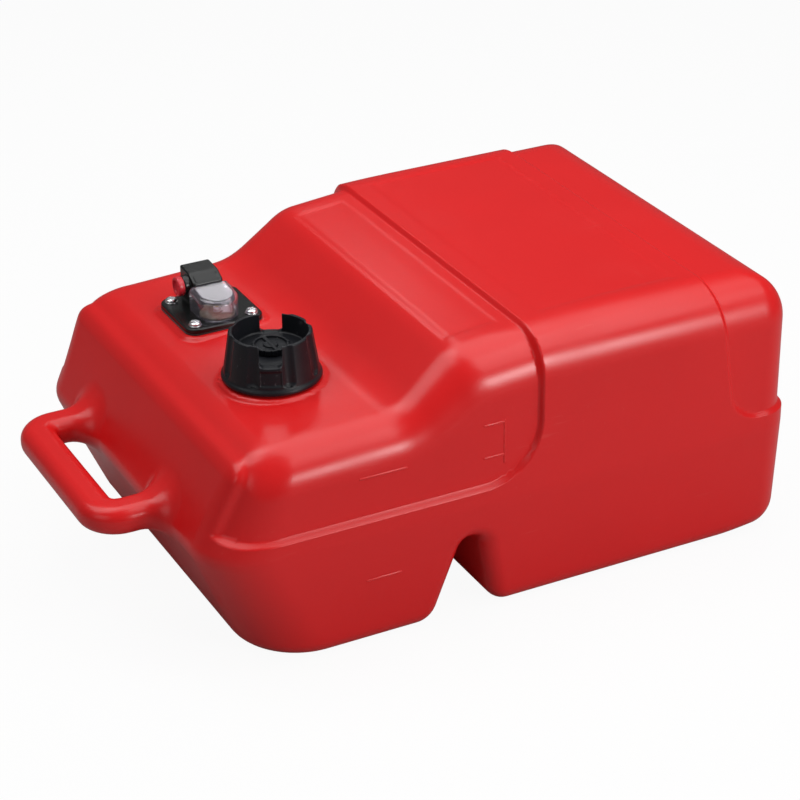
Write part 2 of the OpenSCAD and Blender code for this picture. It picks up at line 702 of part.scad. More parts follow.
module pickup_strainer() color(brass_yellow)
        translate([riser_at.x, riser_at.y, strainer_z]) difference() {
    cylinder(h = strainer_h, r = strainer_r);
    translate([0, 0, 1.2]) cylinder(h = strainer_h - 5, r = strainer_r - 1.5);
    translate([0, 0, 1]) cylinder(h = strainer_h, r = tube_r + press_gap);
    for (i = [0:5], z = [3:3:9]) rotate([0, 0, i * 60])
        translate([0, -2.5, z]) cube([strainer_r + 1, 5, 1.4]);
}

module check_seat() color(brass_yellow)
        translate([riser_at.x, riser_at.y, check_z - seat_ring_t]) difference() {
    cylinder(h = seat_ring_t, r = riser_r - press_gap);
    translate([0, 0, -1]) cylinder(h = seat_ring_t + 2, r = ball_hole_r);
}

module check_ball() color(steel_grey) translate([riser_at.x, riser_at.y, ball_z]) sphere(r = ball_r);

// Light spring above the ball: a round wire swept along a helix
module check_spring() color(steel_grey) {
    turns = 5;
    steps = 16;
    sides = 6;
    r = ball_r - 0.3;
    low = ball_z + sqrt(pow(ball_r + spring_wire / 2 + 0.1, 2) - r * r);
    high = riser_top - spring_wire / 2 - 0.1;
    count = turns * steps;
    rings = [for (i = [0:count]) let (a = i * 360 / steps)
        [for (j = [0:sides - 1]) let (b = j * 360 / sides, out = r + spring_wire / 2 * cos(b))
            [out * cos(a), out * sin(a), low + (high - low) * i / count + spring_wire / 2 * sin(b)]]];
    translate([riser_at.x, riser_at.y, 0]) polyhedron(
        points = [for (ring = rings) for (p = ring) p],
        faces = concat(
            [[for (j = [0:sides - 1]) j]],
            [for (i = [0:count - 1]) for (j = [0:sides - 1]) let (k = (j + 1) % sides)
                [i * sides + j, (i + 1) * sides + j, (i + 1) * sides + k, i * sides + k]],
            [[for (j = [sides - 1:-1:0]) count * sides + j]]));
}

// Turn a shape drawn along Z so that it points out of the port, towards the handle
module out_of_port(x) translate([x, riser_at.y, outlet_z]) rotate([0, -90, 0]) children();

module port_bushing() color(brass_yellow) difference() {
    union() {
        out_of_port(bushing_in_x) cylinder(h = bushing_in_x - port_end, r = bushing_r);
        out_of_port(port_end) cylinder(h = 1, r = bushing_r + 0.7);
    }
    out_of_port(bushing_in_x + 1) cylinder(h = 30, r = port_r);
}

module port_plug() color(tank_red) difference() {
    union() {
        out_of_port(plug_x) cylinder(h = plug_t, r = plug_r);
        out_of_port(bushing_in_x - 0.5) cylinder(h = bushing_in_x - plug_x, r = port_r - 1.6 * run_fit);
    }
    out_of_port(plug_x + 0.5) cylinder_ring(2, port_r, port_r + 2.05);
    out_of_port(plug_x - plug_t + 1.5) cylinder(h = 3, r = plug_r - 2.2);
}

module cylinder_ring(h, inner, outer) difference() {
    cylinder(h = h, r = outer);
    translate([0, 0, -1]) cylinder(h = h + 2, r = inner);
}

module plug_seal() color(rubber_black) out_of_port(plug_x + 0.1)
    translate([0, 0, 0.75]) rotate_extrude() translate([port_r + 1, 0]) circle(0.75, $fn = 24);

tank_shell();
flange_inserts();
cap_grip();
cap_core();
cap_gasket();
vent_knob();
vent_seal();
splash_guard();
gauge_gasket();
gauge_housing();
screw_washers();
flange_screws();
gauge_lens();
dial_plate();
pointer();
drive_shaft();
drive_pinion();
gear_cage();
pivot_pin();
arm_gear();
float_arm();
float();
float_clip();
pickup_tube();
pickup_strainer();
check_seat();
check_ball();
check_spring();
port_bushing();
port_plug();
plug_seal();
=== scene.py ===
# %% Load the fixed frame
import json
import math

import bmesh
import bpy
import numpy as np
from mathutils import Matrix, Vector

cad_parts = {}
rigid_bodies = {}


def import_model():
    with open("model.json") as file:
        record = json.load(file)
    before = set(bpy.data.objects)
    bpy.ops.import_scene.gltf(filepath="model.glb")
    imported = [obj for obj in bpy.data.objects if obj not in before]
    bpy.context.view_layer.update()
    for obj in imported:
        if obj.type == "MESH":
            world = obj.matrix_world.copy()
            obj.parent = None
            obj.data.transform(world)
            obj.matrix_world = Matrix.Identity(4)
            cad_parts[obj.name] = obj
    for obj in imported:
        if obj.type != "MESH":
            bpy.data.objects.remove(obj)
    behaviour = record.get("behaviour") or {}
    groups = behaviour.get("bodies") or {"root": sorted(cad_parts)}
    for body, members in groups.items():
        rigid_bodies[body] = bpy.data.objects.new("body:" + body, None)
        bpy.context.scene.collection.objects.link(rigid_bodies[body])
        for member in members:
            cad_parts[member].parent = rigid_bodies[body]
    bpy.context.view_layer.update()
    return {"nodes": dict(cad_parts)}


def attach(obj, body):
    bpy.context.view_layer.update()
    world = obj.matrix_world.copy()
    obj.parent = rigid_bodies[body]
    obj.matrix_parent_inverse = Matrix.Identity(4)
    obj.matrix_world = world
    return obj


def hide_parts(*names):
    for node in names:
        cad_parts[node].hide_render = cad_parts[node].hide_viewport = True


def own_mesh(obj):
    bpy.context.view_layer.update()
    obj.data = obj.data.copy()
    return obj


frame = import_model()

nodes = frame["nodes"]

# %% [markdown]
# # A portable fuel tank, one finish and one piece at a time
# The exact solids of every piece are already loaded, and they decide where everything is.
# What is left to do here is what the eye judges: soft moulded forms, small edges that catch the
# light, and surfaces that look like polyethylene, acetal, rubber, brass and clear plastic.
# All shapes below are drawn in millimetres, in the frame of the solids, and made metres at the end.

# %% [markdown]
# ## Camera, floor and light
# The view looks down at the near side and the handle's end. A long lens from about two metres
# keeps the edges of the tank nearly parallel. The axes of the camera are written out as a matrix,
# because that holds its small roll as well as its aim.

# %% Camera
AZIMUTH, ELEVATION, ROLL = (math.radians(a) for a in (-27.0585, 27.8641, -0.589))
STAND, FOCAL, SENSOR = (-0.71214, -1.43105, 0.93883), 110.613, 36
back = Vector((math.sin(AZIMUTH) * math.cos(ELEVATION), -math.cos(AZIMUTH) * math.cos(ELEVATION),
               math.sin(ELEVATION)))
level = Vector((math.cos(AZIMUTH), math.sin(AZIMUTH), 0))
upright = back.cross(level)
right = math.cos(ROLL) * level + math.sin(ROLL) * upright
up = -math.sin(ROLL) * level + math.cos(ROLL) * upright
camera = bpy.data.objects.new("camera", bpy.data.cameras.new("camera"))
bpy.context.scene.collection.objects.link(camera)
camera.matrix_world = Matrix.Translation(STAND) @ Matrix((right, up, back)).transposed().to_4x4()
camera.data.sensor_width = SENSOR
camera.data.lens = FOCAL
camera.data.clip_start, camera.data.clip_end = 0.05, 60
bpy.context.scene.camera = camera
bpy.context.scene.view_settings.view_transform = "Standard"
print("camera", [round(v, 3) for v in camera.location], "m from the origin")

# %% [markdown]
# A product table is lit by big soft boxes, so that shadows stay faint and a rounded edge shows a
# long pale streak. World and floor are white only where the camera looks straight at them. To every
# other ray they are a dim room and a plain pale surface, so reflections keep the red deep and the
# floor still receives the soft shadow under the tank.

# %% Floor, world and soft boxes
AMBIENT, FLOOR_TONE, FLOOR_GLOW, FLOOR_SHARE, FLOOR_DROP = 0.14, 0.38, 1.09, 0.86, 0.0004


def link_nodes(tree, a, out, b, into):
    tree.links.new(a.outputs[out], b.inputs[into])


def white_to_the_eye(tree, surface, white, share):
    """Mix a surface with plain white where the camera looks straight at it."""
    path = tree.nodes.new("ShaderNodeLightPath")
    part = tree.nodes.new("ShaderNodeMath")
    part.operation = "MULTIPLY"
    part.inputs[1].default_value = share
    mix = tree.nodes.new("ShaderNodeMixShader")
    link_nodes(tree, path, "Is Camera Ray", part, 0)
    link_nodes(tree, part, 0, mix, 0)
    link_nodes(tree, surface, 0, mix, 1)
    link_nodes(tree, white, 0, mix, 2)
    return mix


world = bpy.data.worlds.new("studio")
bpy.context.scene.world = world
world.use_nodes = True
sky = world.node_tree
ambient = sky.nodes["Background"]
ambient.inputs["Color"].default_value = (1, 1, 1, 1)
ambient.inputs["Strength"].default_value = AMBIENT
paper = sky.nodes.new("ShaderNodeBackground")
paper.inputs["Color"].default_value = (1, 1, 1, 1)
paper.inputs["Strength"].default_value = 1.0
link_nodes(sky, white_to_the_eye(sky, ambient, paper, 1.0), 0, sky.nodes["World Output"], "Surface")

bm = bmesh.new()
bmesh.ops.create_grid(bm, x_segments=2, y_segments=2, size=8)
floor_mesh = bpy.data.meshes.new("floor")
bm.to_mesh(floor_mesh)
bm.free()
floor = bpy.data.objects.new("floor", floor_mesh)
bpy.context.scene.collection.objects.link(floor)
floor.location.z = -FLOOR_DROP
pale = bpy.data.materials.new("pale_floor")
pale.use_nodes = True
tree = pale.node_tree
matt = tree.nodes["Principled BSDF"]
matt.inputs["Base Color"].default_value = (FLOOR_TONE, FLOOR_TONE, FLOOR_TONE, 1)
matt.inputs["Roughness"].default_value = 0.9
glow = tree.nodes.new("ShaderNodeEmission")
glow.inputs["Strength"].default_value = FLOOR_GLOW
shown_floor = white_to_the_eye(tree, matt, glow, FLOOR_SHARE)
link_nodes(tree, shown_floor, 0, tree.nodes["Material Output"], "Surface")
floor_mesh.materials.append(pale)


def soft_box(name, at, width, height, watts, aim=(0, 0, 0.1)):
    """A rectangular lamp that faces the point that it is aimed at."""
    lamp = bpy.data.objects.new(name, bpy.data.lights.new(name, "AREA"))
    bpy.context.scene.collection.objects.link(lamp)
    lamp.data.shape = "RECTANGLE"
    lamp.data.size, lamp.data.size_y = width, height
    lamp.data.energy = watts
    lamp.location = at
    lamp.rotation_euler = (Vector(aim) - Vector(at)).to_track_quat("-Z", "Y").to_euler()


soft_box("overhead_box", (0.25, 0.15, 1.25), 1.3, 0.9, 6.8)
soft_box("handle_end_box", (-0.6, 0.3, 1.4), 1.0, 1.0, 7.4)
soft_box("edge_box", (0.7, -0.8, 1.4), 0.9, 0.8, 5.4)
soft_box("near_box", (0.8, -1.85, 0.8), 0.66, 0.42, 13.0)
soft_box("left_box", (-1.9, -0.8, 1.1), 1.2, 1.0, 3.5)
soft_box("low_near_box", (0.95, -1.96, 0.49), 0.6, 0.4, 3.4)
soft_box("far_box", (0.31, 0.925, 0.891), 0.15, 0.15, 0.22, aim=(-0.1, 0.05, 0.18))

# %% [markdown]
# ## Finishes
# A moulded surface is never one flat colour: the pigment drifts a little from place to place, the
# mould's texture breaks up the highlight, and handling leaves faint scuffs. Every finish here needs
# those same effects at its own strength, so each effect is a node group, built once, with named inputs.

# %% A small helper that builds a node group
def new_group(name, inputs, outputs):
    """An empty shader node group with float or colour sockets; returns (tree, inputs node, outputs node)."""
    tree = bpy.data.node_groups.new(name, "ShaderNodeTree")
    for label, kind, value in inputs:
        socket = tree.interface.new_socket(label, in_out="INPUT", socket_type="NodeSocket" + kind)
        if value is not None:
            socket.default_value = value
    for label, kind in outputs:
        tree.interface.new_socket(label, in_out="OUTPUT", socket_type="NodeSocket" + kind)
    return tree, tree.nodes.new("NodeGroupInput"), tree.nodes.new("NodeGroupOutput")


def add(tree, kind, links=(), **values):
    """A node with its properties and its unlinked sockets set, and its linked ones joined.
    A value named i0, i1 and so on sets the socket of that number."""
    node = tree.nodes.new("ShaderNode" + kind)
    for key, value in values.items():
        if hasattr(node, key):
            setattr(node, key, value)
        else:
            socket = int(key[1:]) if key[1:].isdigit() else key.replace("_", " ")
            node.inputs[socket].default_value = value
    for source, out, into in links:
        link_nodes(tree, source, out, node, into)
    return node


# %% Pigment drift: broad and fine changes of tone
drift, given, result = new_group(
    "pigment_drift",
    [("Color", "Color", None), ("Broad", "Float", 0.1), ("Fine", "Float", 0.05),
     ("Fine Scale", "Float", 400.0)],
    [("Color", "Color")])
where = add(drift, "TexCoord")
broad = add(drift, "TexNoise", [(where, "Object", "Vector")], Scale=9.0, Detail=3.0, Roughness=0.55)
fine = add(drift, "TexNoise", [(where, "Object", "Vector"), (given, "Fine Scale", "Scale")], Detail=4.0)
broad_off = add(drift, "Math", [(broad, "Fac", 0)], operation="SUBTRACT", i1=0.5)
fine_off = add(drift, "Math", [(fine, "Fac", 0)], operation="SUBTRACT", i1=0.5)
lifted = add(drift, "Math", [(broad_off, 0, 0), (given, "Broad", 1)], operation="MULTIPLY_ADD", i2=1.0)
lifted = add(drift, "Math", [(fine_off, 0, 0), (given, "Fine", 1), (lifted, 0, 2)],
             operation="MULTIPLY_ADD")
tinted = add(drift, "HueSaturation", [(given, "Color", "Color"), (lifted, 0, "Value")])
link_nodes(drift, tinted, "Color", result, "Color")

# %% Mould grain: the height of the fine texture that the mould leaves
grain, given, result = new_group(
    "mould_grain", [("Cell", "Float", 700.0), ("Wave", "Float", 60.0), ("Wave Share", "Float", 0.4)],
    [("Height", "Float")])
where = add(grain, "TexCoord")
cells = add(grain, "TexNoise", [(where, "Object", "Vector"), (given, "Cell", "Scale")], Detail=2.0)
waves = add(grain, "TexNoise", [(where, "Object", "Vector"), (given, "Wave", "Scale")], Detail=1.0)
blended = add(grain, "Mix", [(given, "Wave Share", 0), (cells, "Fac", 2), (waves, "Fac", 3)],
              data_type="FLOAT")
link_nodes(grain, blended, 0, result, "Height")

# %% Scuffs: sparse, short scratches and rubbed patches, as a mask
scuffs, given, result = new_group(
    "scuffs", [("Amount", "Float", 0.3), ("Length", "Float", 30.0)], [("Mask", "Float"), ("Rubbed", "Float")])
where = add(scuffs, "TexCoord")
masks = []
for turn, stretch in ((0.5, (1, 14, 9)), (2.1, (12, 1, 8))):
    placed = add(scuffs, "Mapping", [(where, "Object", "Vector")], Rotation=(0.3, 0.2, turn), Scale=stretch)
    line = add(scuffs, "TexNoise", [(placed, "Vector", "Vector"), (given, "Length", "Scale")], Detail=5.0)
    masks.append(add(scuffs, "MapRange", [(line, "Fac", "Value")], i1=0.67, i2=0.74))
both = add(scuffs, "Math", [(masks[0], 0, 0), (masks[1], 0, 1)], operation="MAXIMUM")
patch = add(scuffs, "TexNoise", [(where, "Object", "Vector")], Scale=14.0, Detail=4.0)
rubbed = add(scuffs, "MapRange", [(patch, "Fac", "Value")], i1=0.5, i2=0.75)
sparse = add(scuffs, "Math", [(both, 0, 0), (rubbed, 0, 1)], operation="MULTIPLY")
strength = add(scuffs, "Math", [(sparse, 0, 0), (given, "Amount", 1)], operation="MULTIPLY")
link_nodes(scuffs, strength, 0, result, "Mask")
link_nodes(scuffs, rubbed, 0, result, "Rubbed")

# %% Edge wear and painted highlight: lighter on convex edges, where they are handled and as a painted highlight
edge_wear_and_highlight, given, result = new_group("edge_wear_and_painted_highlight", [("Amount", "Float", 0.5)], [("Mask", "Float")])
form = add(edge_wear_and_highlight, "NewGeometry")
edge = add(edge_wear_and_highlight, "MapRange", [(form, "Pointiness", "Value")], i1=0.53, i2=0.62)
where = add(edge_wear_and_highlight, "TexCoord")
broken = add(edge_wear_and_highlight, "TexNoise", [(where, "Object", "Vector")], Scale=260.0, Detail=4.0)
patchy = add(edge_wear_and_highlight, "MapRange", [(broken, "Fac", "Value")], i1=0.35, i2=0.65)
# Convex edges made paler: partly handling wear, partly a painted highlight along rims and edges.
rubbed = add(edge_wear_and_highlight, "Math", [(edge, 0, 0), (patchy, 0, 1)], operation="MULTIPLY")
strength = add(edge_wear_and_highlight, "Math", [(rubbed, 0, 0), (given, "Amount", 1)], operation="MULTIPLY")
link_nodes(edge_wear_and_highlight, strength, 0, result, "Mask")


def use_group(tree, group, **values):
    node = tree.nodes.new("ShaderNodeGroup")
    node.node_tree = group
    for key, value in values.items():
        node.inputs[key.replace("_", " ")].default_value = value
    return node


# %% [markdown]
# Every finish starts with a Principled shader, a tone that drifts and a grain. One helper starts the
# shader and another adds the grain. What is the same all over, such as the IOR, is set on the shader
# itself, because an exporter can read it there.

# %% What all the finishes share
def new_finish(name):
    """A material with nodes; returns (material, its tree, its Principled shader)."""
    finish = bpy.data.materials.new(name)
    finish.use_nodes = True
    return finish, finish.node_tree, finish.node_tree.nodes["Principled BSDF"]


def add_grain(tree, shader, cell, wave, wave_share, strength, distance):
    height = use_group(tree, grain, Cell=cell, Wave=wave, Wave_Share=wave_share)
    bump = add(tree, "Bump", [(height, "Height", "Height")], Strength=strength, Distance=distance)
    link_nodes(tree, bump, "Normal", shader, "Normal")


# %% [markdown]
# Most of the pieces are moulded plastic or rubber, so one function lays out their shader: the pigment
# drifts, and scuffs and rubbed edges pull it towards a paler tone and make it rougher. The paler edges
# are partly a painted highlight, strongest on the cap.

# %% Moulded plastics and rubber
def moulded(name, colour, roughness, drift_by, grain_by, scuff, pale_to, edge_wear_and_highlight_by=0.3, shine=0.5, sheen=0.0):
    """drift_by is (broad, fine, fine scale); grain_by is what add_grain takes after the shader."""
    finish, tree, shader = new_finish(name)
    toned = use_group(tree, drift, Color=(*colour, 1), Broad=drift_by[0], Fine=drift_by[1],
                      Fine_Scale=drift_by[2])
    marks = use_group(tree, scuffs, Amount=scuff)
    edges = use_group(tree, edge_wear_and_highlight, Amount=edge_wear_and_highlight_by)
    # Scuffs and edge wear, with the convex edges also made lighter as a painted highlight.
    wear_and_highlight = add(tree, "Math", [(marks, "Mask", 0), (edges, "Mask", 1)], operation="MAXIMUM")
    base = add(tree, "Mix", [(wear_and_highlight, 0, 0), (toned, "Color", 6)], data_type="RGBA", i7=(*pale_to, 1))
    link_nodes(tree, base, 2, shader, "Base Color")
    rough = add(tree, "MapRange", [(marks, "Rubbed", "Value")], i3=roughness, i4=roughness + 0.08)
    rougher = add(tree, "Math", [(wear_and_highlight, 0, 0), (rough, 0, 2)], operation="MULTIPLY_ADD", i1=0.25)
    link_nodes(tree, rougher, 0, shader, "Roughness")
    add_grain(tree, shader, *grain_by)
    shader.inputs["Specular IOR Level"].default_value = shine
    shader.inputs["Sheen Weight"].default_value = sheen
    print("finish", name)
    return finish


tank_finish = moulded("red_polyethylene", (0.72, 0.010, 0.011), 0.28, drift_by=(0.14, 0.05, 420.0),
                      grain_by=(900.0, 38.0, 0.5, 0.16, 0.0005), scuff=0.22, pale_to=(0.80, 0.16, 0.13),
                      edge_wear_and_highlight_by=0.16, shine=0.48)

# %% [markdown]
# ## The moulded tank
# The tank is one hollow polyethylene moulding: a low front with the fill deck, a ramp, a tall rear,
# a channel underneath and a carrying handle. All its edges are big soft radii that run into each
# other. Bevels on a hard block can't make radii of 14 to 42 mm meet in one smooth corner, so the
# block is only the starting mesh. It is boxed out with quads, sliced finely where detail comes, and
# then every point is pulled onto a smooth form that is written as a formula.

# %% Distance formulas for smooth forms
def both_inside(a, b, r):
    """Overlap of two forms whose shared edge is rounded by r."""
    return np.where((a > -r) & (b > -r), np.hypot(a + r, b + r) - r, np.maximum(a, b))


def either(a, b, r):
    """Union of two forms with a fillet of r between them."""
    return -both_inside(-a, -b, r)


def eased(a, b, r, degrees):
    """Overlap whose edge keeps the radius r at every depth, for faces whose normals are that far apart."""
    turn = math.radians(degrees)
    k = r * turn * math.sin(turn / 2)
    return np.maximum(a, b) + np.maximum(k - np.abs(a - b), 0) ** 2 / (4 * k)


def for_angle(r, degrees):
    """Rounding value that gives a true radius r between faces whose normals are that far apart."""
    return r * (1 - math.cos(math.radians(degrees / 2))) / (1 - math.cos(math.radians(45)))


def above_line(x, z, a, b):
    """Signed distance above the line from a to b, both (x, z)."""
    length = math.hypot(b[0] - a[0], b[1] - a[1])
    return ((z - a[1]) * (b[0] - a[0]) - (x - a[0]) * (b[1] - a[1])) / length


def step_up(d, width):
    """0 to 1 as d passes through zero, over that width."""
    t = np.clip(d / width + 0.5, 0, 1)
    return t * t * (3 - 2 * t)


# %% Sizes of the tank's form
FRONT, REAR, HALF_WIDTH, HEIGHT = -203.5, 255.0, 165.0, 207.5
LEDGE, RIDGE, DRAFT = 102.0, 89.0, 6.0
CAP_X, CAP_Y, GAUGE_X, GAUGE_Y, SEAT = -106.5, -52.0, -103.5, 59.0, 163.8
BOSS_TOP_R, SEAT_HALF, SEAT_CORNER, DECK_FILLET = 37.3, 33.5, 12, 2.5
# Corners of the side view, as (x, z)
NOSE, DECK_FRONT, TOE = (FRONT, RIDGE), (-172.1, 159.3), (-165.9, 0)
RAMP_FOOT, RAMP_HEAD, BAND_FOOT = (-52.5, 164.6), (-10.5, 198), (43.5, 203)
DECK_X, DECK_Z, DECK_RISE = -105, 162.3, math.radians(2.5)
# The channel's two slopes, from its crown to the ground
CHANNEL_TOP, CHANNEL_FRONT, CHANNEL_REAR = 62, (-14.5, -36.5), (-0.5, 11.5)
# Steps at the edges of the side panels and the rear, and how wide each step's slope is
PANEL_STEP, REAR_STEP, EDGE = 4.5, 2.5, 3.4
PANEL_END, PANEL_CORNER, SLANT_SHARE, SLANT_INSET = 43.5, 43.0, 0.36, 6
REAR_PANEL_END, REAR_PANEL_CORNER, REAR_PANEL_LEAN = 202.5, 22.0, 15.0 / (HEIGHT - LEDGE)
BAND_START, BAND_END = 20, 110
# The two bare label recesses on top: from x, to x, half width
LABELS = [(62, 170, 126), (-8, 33, 118)]
LABEL_DEPTH, LABEL_EDGE = 0.5, 4.5
# Radius and turn in degrees of the long soft edges
NOSE_EDGE, RAMP_HEAD_EDGE, RAMP_FOOT_EDGE, REAR_EDGE = (14, 47), (34, 33), (42, 38), (8, 90)
FRONT_TOP_EDGE = (32, 64)
# Radii that change on their way: upright corners, edges round the top, edges at the ground
CORNER_R, CORNER_R_LOW, CORNER_R_HIGH = 42, 46, 34
TOP_R, TOP_R_REAR, GROUND_R, GROUND_R_REAR = 30, 35, 13.5, 21.5
REAR_CORNER_R, CHANNEL_R, HANDLE_FILLET = 24, 12, 16


# %% [markdown]
# Each part of the tank has its own short formula, which gives the distance from its surface: below
# zero is inside. The formulas are then joined, and every join says how round it is.

# %% Formulas of the tank's parts
def front_face(x, z, edge):
    """The front's two slopes, which meet in a ridge."""
    r, degrees = NOSE_EDGE
    upper, lower = above_line(x, z, NOSE, DECK_FRONT), -above_line(x, z, NOSE, TOE)
    return eased(upper, lower, r + 3 * (edge - EDGE), degrees)


def panels(x, z, front):
    """Distances into the two recessed side panels. The front one runs round the corner and ends
    at a slanted edge that follows the front face."""
    above_ledge = LEDGE - z
    front_panel = both_inside(both_inside(above_ledge, x - PANEL_END, PANEL_CORNER),
                              SLANT_SHARE * (front + SLANT_INSET), 5.0)
    rear_end = REAR_PANEL_END + REAR_PANEL_LEAN * above_ledge
    return front_panel, both_inside(above_ledge, (rear_end - x) * 0.99, REAR_PANEL_CORNER)


def rounded_square(x, y, half, r):
    """Distance to a square of that half width with corners of radius r."""
    a, b = np.abs(x) - half + r, np.abs(y) - half + r
    return np.hypot(np.maximum(a, 0), np.maximum(b, 0)) + np.minimum(np.maximum(a, b), 0) - r


def deck_form(x, y, z):
    """The low deck, with the filler's round boss and the gauge's square seat on it."""
    deck = (z - (DECK_Z + (x - DECK_X) * math.tan(DECK_RISE))) * 0.999
    boss = both_inside(z - SEAT, np.hypot(x - CAP_X, y - CAP_Y) - BOSS_TOP_R, 1.6)
    seat = both_inside(z - SEAT, rounded_square(x - GAUGE_X, y - GAUGE_Y, SEAT_HALF, SEAT_CORNER), 2.5)
    return either(deck, np.minimum(boss, seat), DECK_FILLET)


def tall_form(x, y, z, edge, into_front, into_rear):
    """The ramp and the tall end's top, with the raised band and the shallow label recesses."""
    ramp = above_line(x, z, RAMP_FOOT, RAMP_HEAD)
    upper = both_inside(above_line(x, z, RAMP_HEAD, BAND_FOOT), z - BAND_FOOT[1], 3)
    band_front = PANEL_STEP * (1 - into_front) * step_up(x - BAND_START, max(10, edge))
    band = np.where(x > BAND_END, PANEL_STEP - REAR_STEP * into_rear, band_front)
    labels = 0
    for x0, x1, half in LABELS:
        inward = np.minimum(np.minimum(x - x0, x1 - x), half - y)
        labels = labels + LABEL_DEPTH * step_up(inward, LABEL_EDGE)
    return eased(ramp, upper, *RAMP_HEAD_EDGE) - band + labels


def channel_form(x, z):
    """The room under the tank that a strap runs through."""
    front = above_line(x, z, (CHANNEL_FRONT[0], CHANNEL_TOP), (CHANNEL_FRONT[1], 0))
    rear = above_line(x, z, (CHANNEL_REAR[1], 0), (CHANNEL_REAR[0], CHANNEL_TOP))
    return both_inside(both_inside(-front, z - CHANNEL_TOP, 3.3), -rear, 6.2)


# %% [markdown]
# The handle is one tube with an oval section. Its centre line runs out from the front, turns through
# a quarter circle, crosses, and comes back, so the formula needs only one half of it.

# %% The handle's formula
HANDLE_X, HANDLE_Y, HANDLE_Z, HANDLE_TURN_R = -226, 53.5, 95, 16
TUBE_HALF_W, TUBE_HALF_H, TUBE_CORNER, HANDLE_ROOT = 13, 10.5, 9.5, -180


def handle(x, y, z):
    """Oval tube that leaves the front, turns twice and comes back."""
    y = np.abs(y)
    straight, across = y - (HANDLE_Y + HANDLE_TURN_R), (HANDLE_X - HANDLE_TURN_R) - x
    turning = np.hypot(x - HANDLE_X, y - HANDLE_Y) - HANDLE_TURN_R
    out = np.where(x >= HANDLE_X, straight, np.where(y > HANDLE_Y, turning, across))
    side, tall = np.abs(out) - (TUBE_HALF_W - TUBE_CORNER), np.abs(z - HANDLE_Z) - (TUBE_HALF_H - TUBE_CORNER)
    rounded = np.hypot(np.maximum(side, 0), np.maximum(tall, 0)) + np.minimum(np.maximum(side, tall), 0)
    return np.maximum(rounded - TUBE_CORNER, x - HANDLE_ROOT)


# %% The whole tank's form
def tank_form(p, edge=EDGE):
    """Distance from the tank's outside. A wider edge gives a softer form with the same outline."""
    x, y, z = p[:, 0], np.abs(p[:, 1]), p[:, 2]
    front = front_face(x, z, edge)
    front_panel, rear_panel = panels(x, z, front)
    into_front, into_rear = step_up(-front_panel, edge), step_up(-rear_panel, edge)
    side = y - HALF_WIDTH + REAR_STEP * into_rear + DRAFT * np.clip((RIDGE - z) / RIDGE, 0, 1)
    rear = x - REAR + REAR_STEP * step_up(z - LEDGE, edge)
    corner_r = (CORNER_R + (CORNER_R_LOW - CORNER_R) * step_up(40 - z, 80)
                - (CORNER_R - CORNER_R_HIGH) * step_up(z - 130, 60))
    sides = both_inside(side, front, corner_r) + PANEL_STEP * into_front
    walls = np.maximum(both_inside(sides, rear, REAR_CORNER_R), eased(sides, rear, *REAR_EDGE))
    tall = tall_form(x, y, z, edge, into_front, into_rear)
    top = -eased(-deck_form(x, p[:, 1], z), -tall, *RAMP_FOOT_EDGE)
    at_front = step_up(front - side - PANEL_STEP * into_front, 40)
    top_r = TOP_R + (TOP_R_REAR - TOP_R) * step_up(x + 30, 40)
    top_r = top_r * (1 - at_front) + for_angle(*FRONT_TOP_EDGE) * at_front
    ground_r = GROUND_R + (GROUND_R_REAR - GROUND_R) * step_up(rear - side + 20, 60)
    body = both_inside(both_inside(walls, top, top_r), -z, ground_r)
    body = both_inside(body, -channel_form(x, z), CHANNEL_R)
    return either(body, handle(x, p[:, 1], z), HANDLE_FILLET)


# %% [markdown]
# The starting block is boxed out on a right-angled lattice: a grid face is sliced, the notch above
# the deck and the channel below are deleted from it, and the rest is extruded across the tank.
# The handle is three more extrusions and a bridge. Then each lattice interval gets its own number
# of cuts, with narrow cells only where the edges of the front strip and the rear band need them.

# %% Boxing out the tank
LENGTHS = [-203.5, -148, -54.5, -28, 11.5, 37.5, 49.5, 181.5, 193.5, 255]
LENGTH_CELLS = [28, 38, 9, 15, 9, 12, 36, 11, 19]
HEIGHTS = [0, 62, 84.5, 97.5, 105.5, 160, 207.5]
HEIGHT_CELLS = [16, 7, 6, 10, 19, 15]
WIDTHS = [-165, -82.5, -56.5, 56.5, 82.5, 165]
WIDTH_CELLS = [31, 11, 44, 11, 31]
HANDLE_LENGTHS = [-255, -229, -203.5]
HANDLE_CELLS = [8, 8]
NEAR = 1e-3


def new_verts(made):
    """The vertices among what an operator returned."""
    return [v for v in made["geom"] if isinstance(v, bmesh.types.BMVert)]


def slice_at(bm, axis, values):
    """Cut the whole mesh at each value along one axis."""
    normal = [0, 0, 0]
    normal[axis] = 1
    for value in values:
        point = [0, 0, 0]
        point[axis] = value
        bmesh.ops.bisect_plane(bm, geom=bm.verts[:] + bm.edges[:] + bm.faces[:], dist=1e-4,
                               plane_co=point, plane_no=normal)


def push(bm, faces, by):
    """Extrude a region of faces and move the new faces by a vector."""
    made = bmesh.ops.extrude_face_region(bm, geom=faces)
    bmesh.ops.translate(bm, vec=by, verts=new_verts(made))
    bmesh.ops.delete(bm, geom=faces, context="FACES_ONLY")
    return [f for f in made["geom"] if isinstance(f, bmesh.types.BMFace)]


def faces_near(bm, test):
    """The faces whose middle passes the test."""
    return [f for f in bm.faces if test(f.calc_center_median())]


def in_notch(c):
    """Above the deck, or in the channel."""
    return (c.z > HEIGHTS[5] and c.x < LENGTHS[3]) or (c.z < HEIGHTS[1] and LENGTHS[2] < c.x < LENGTHS[4])


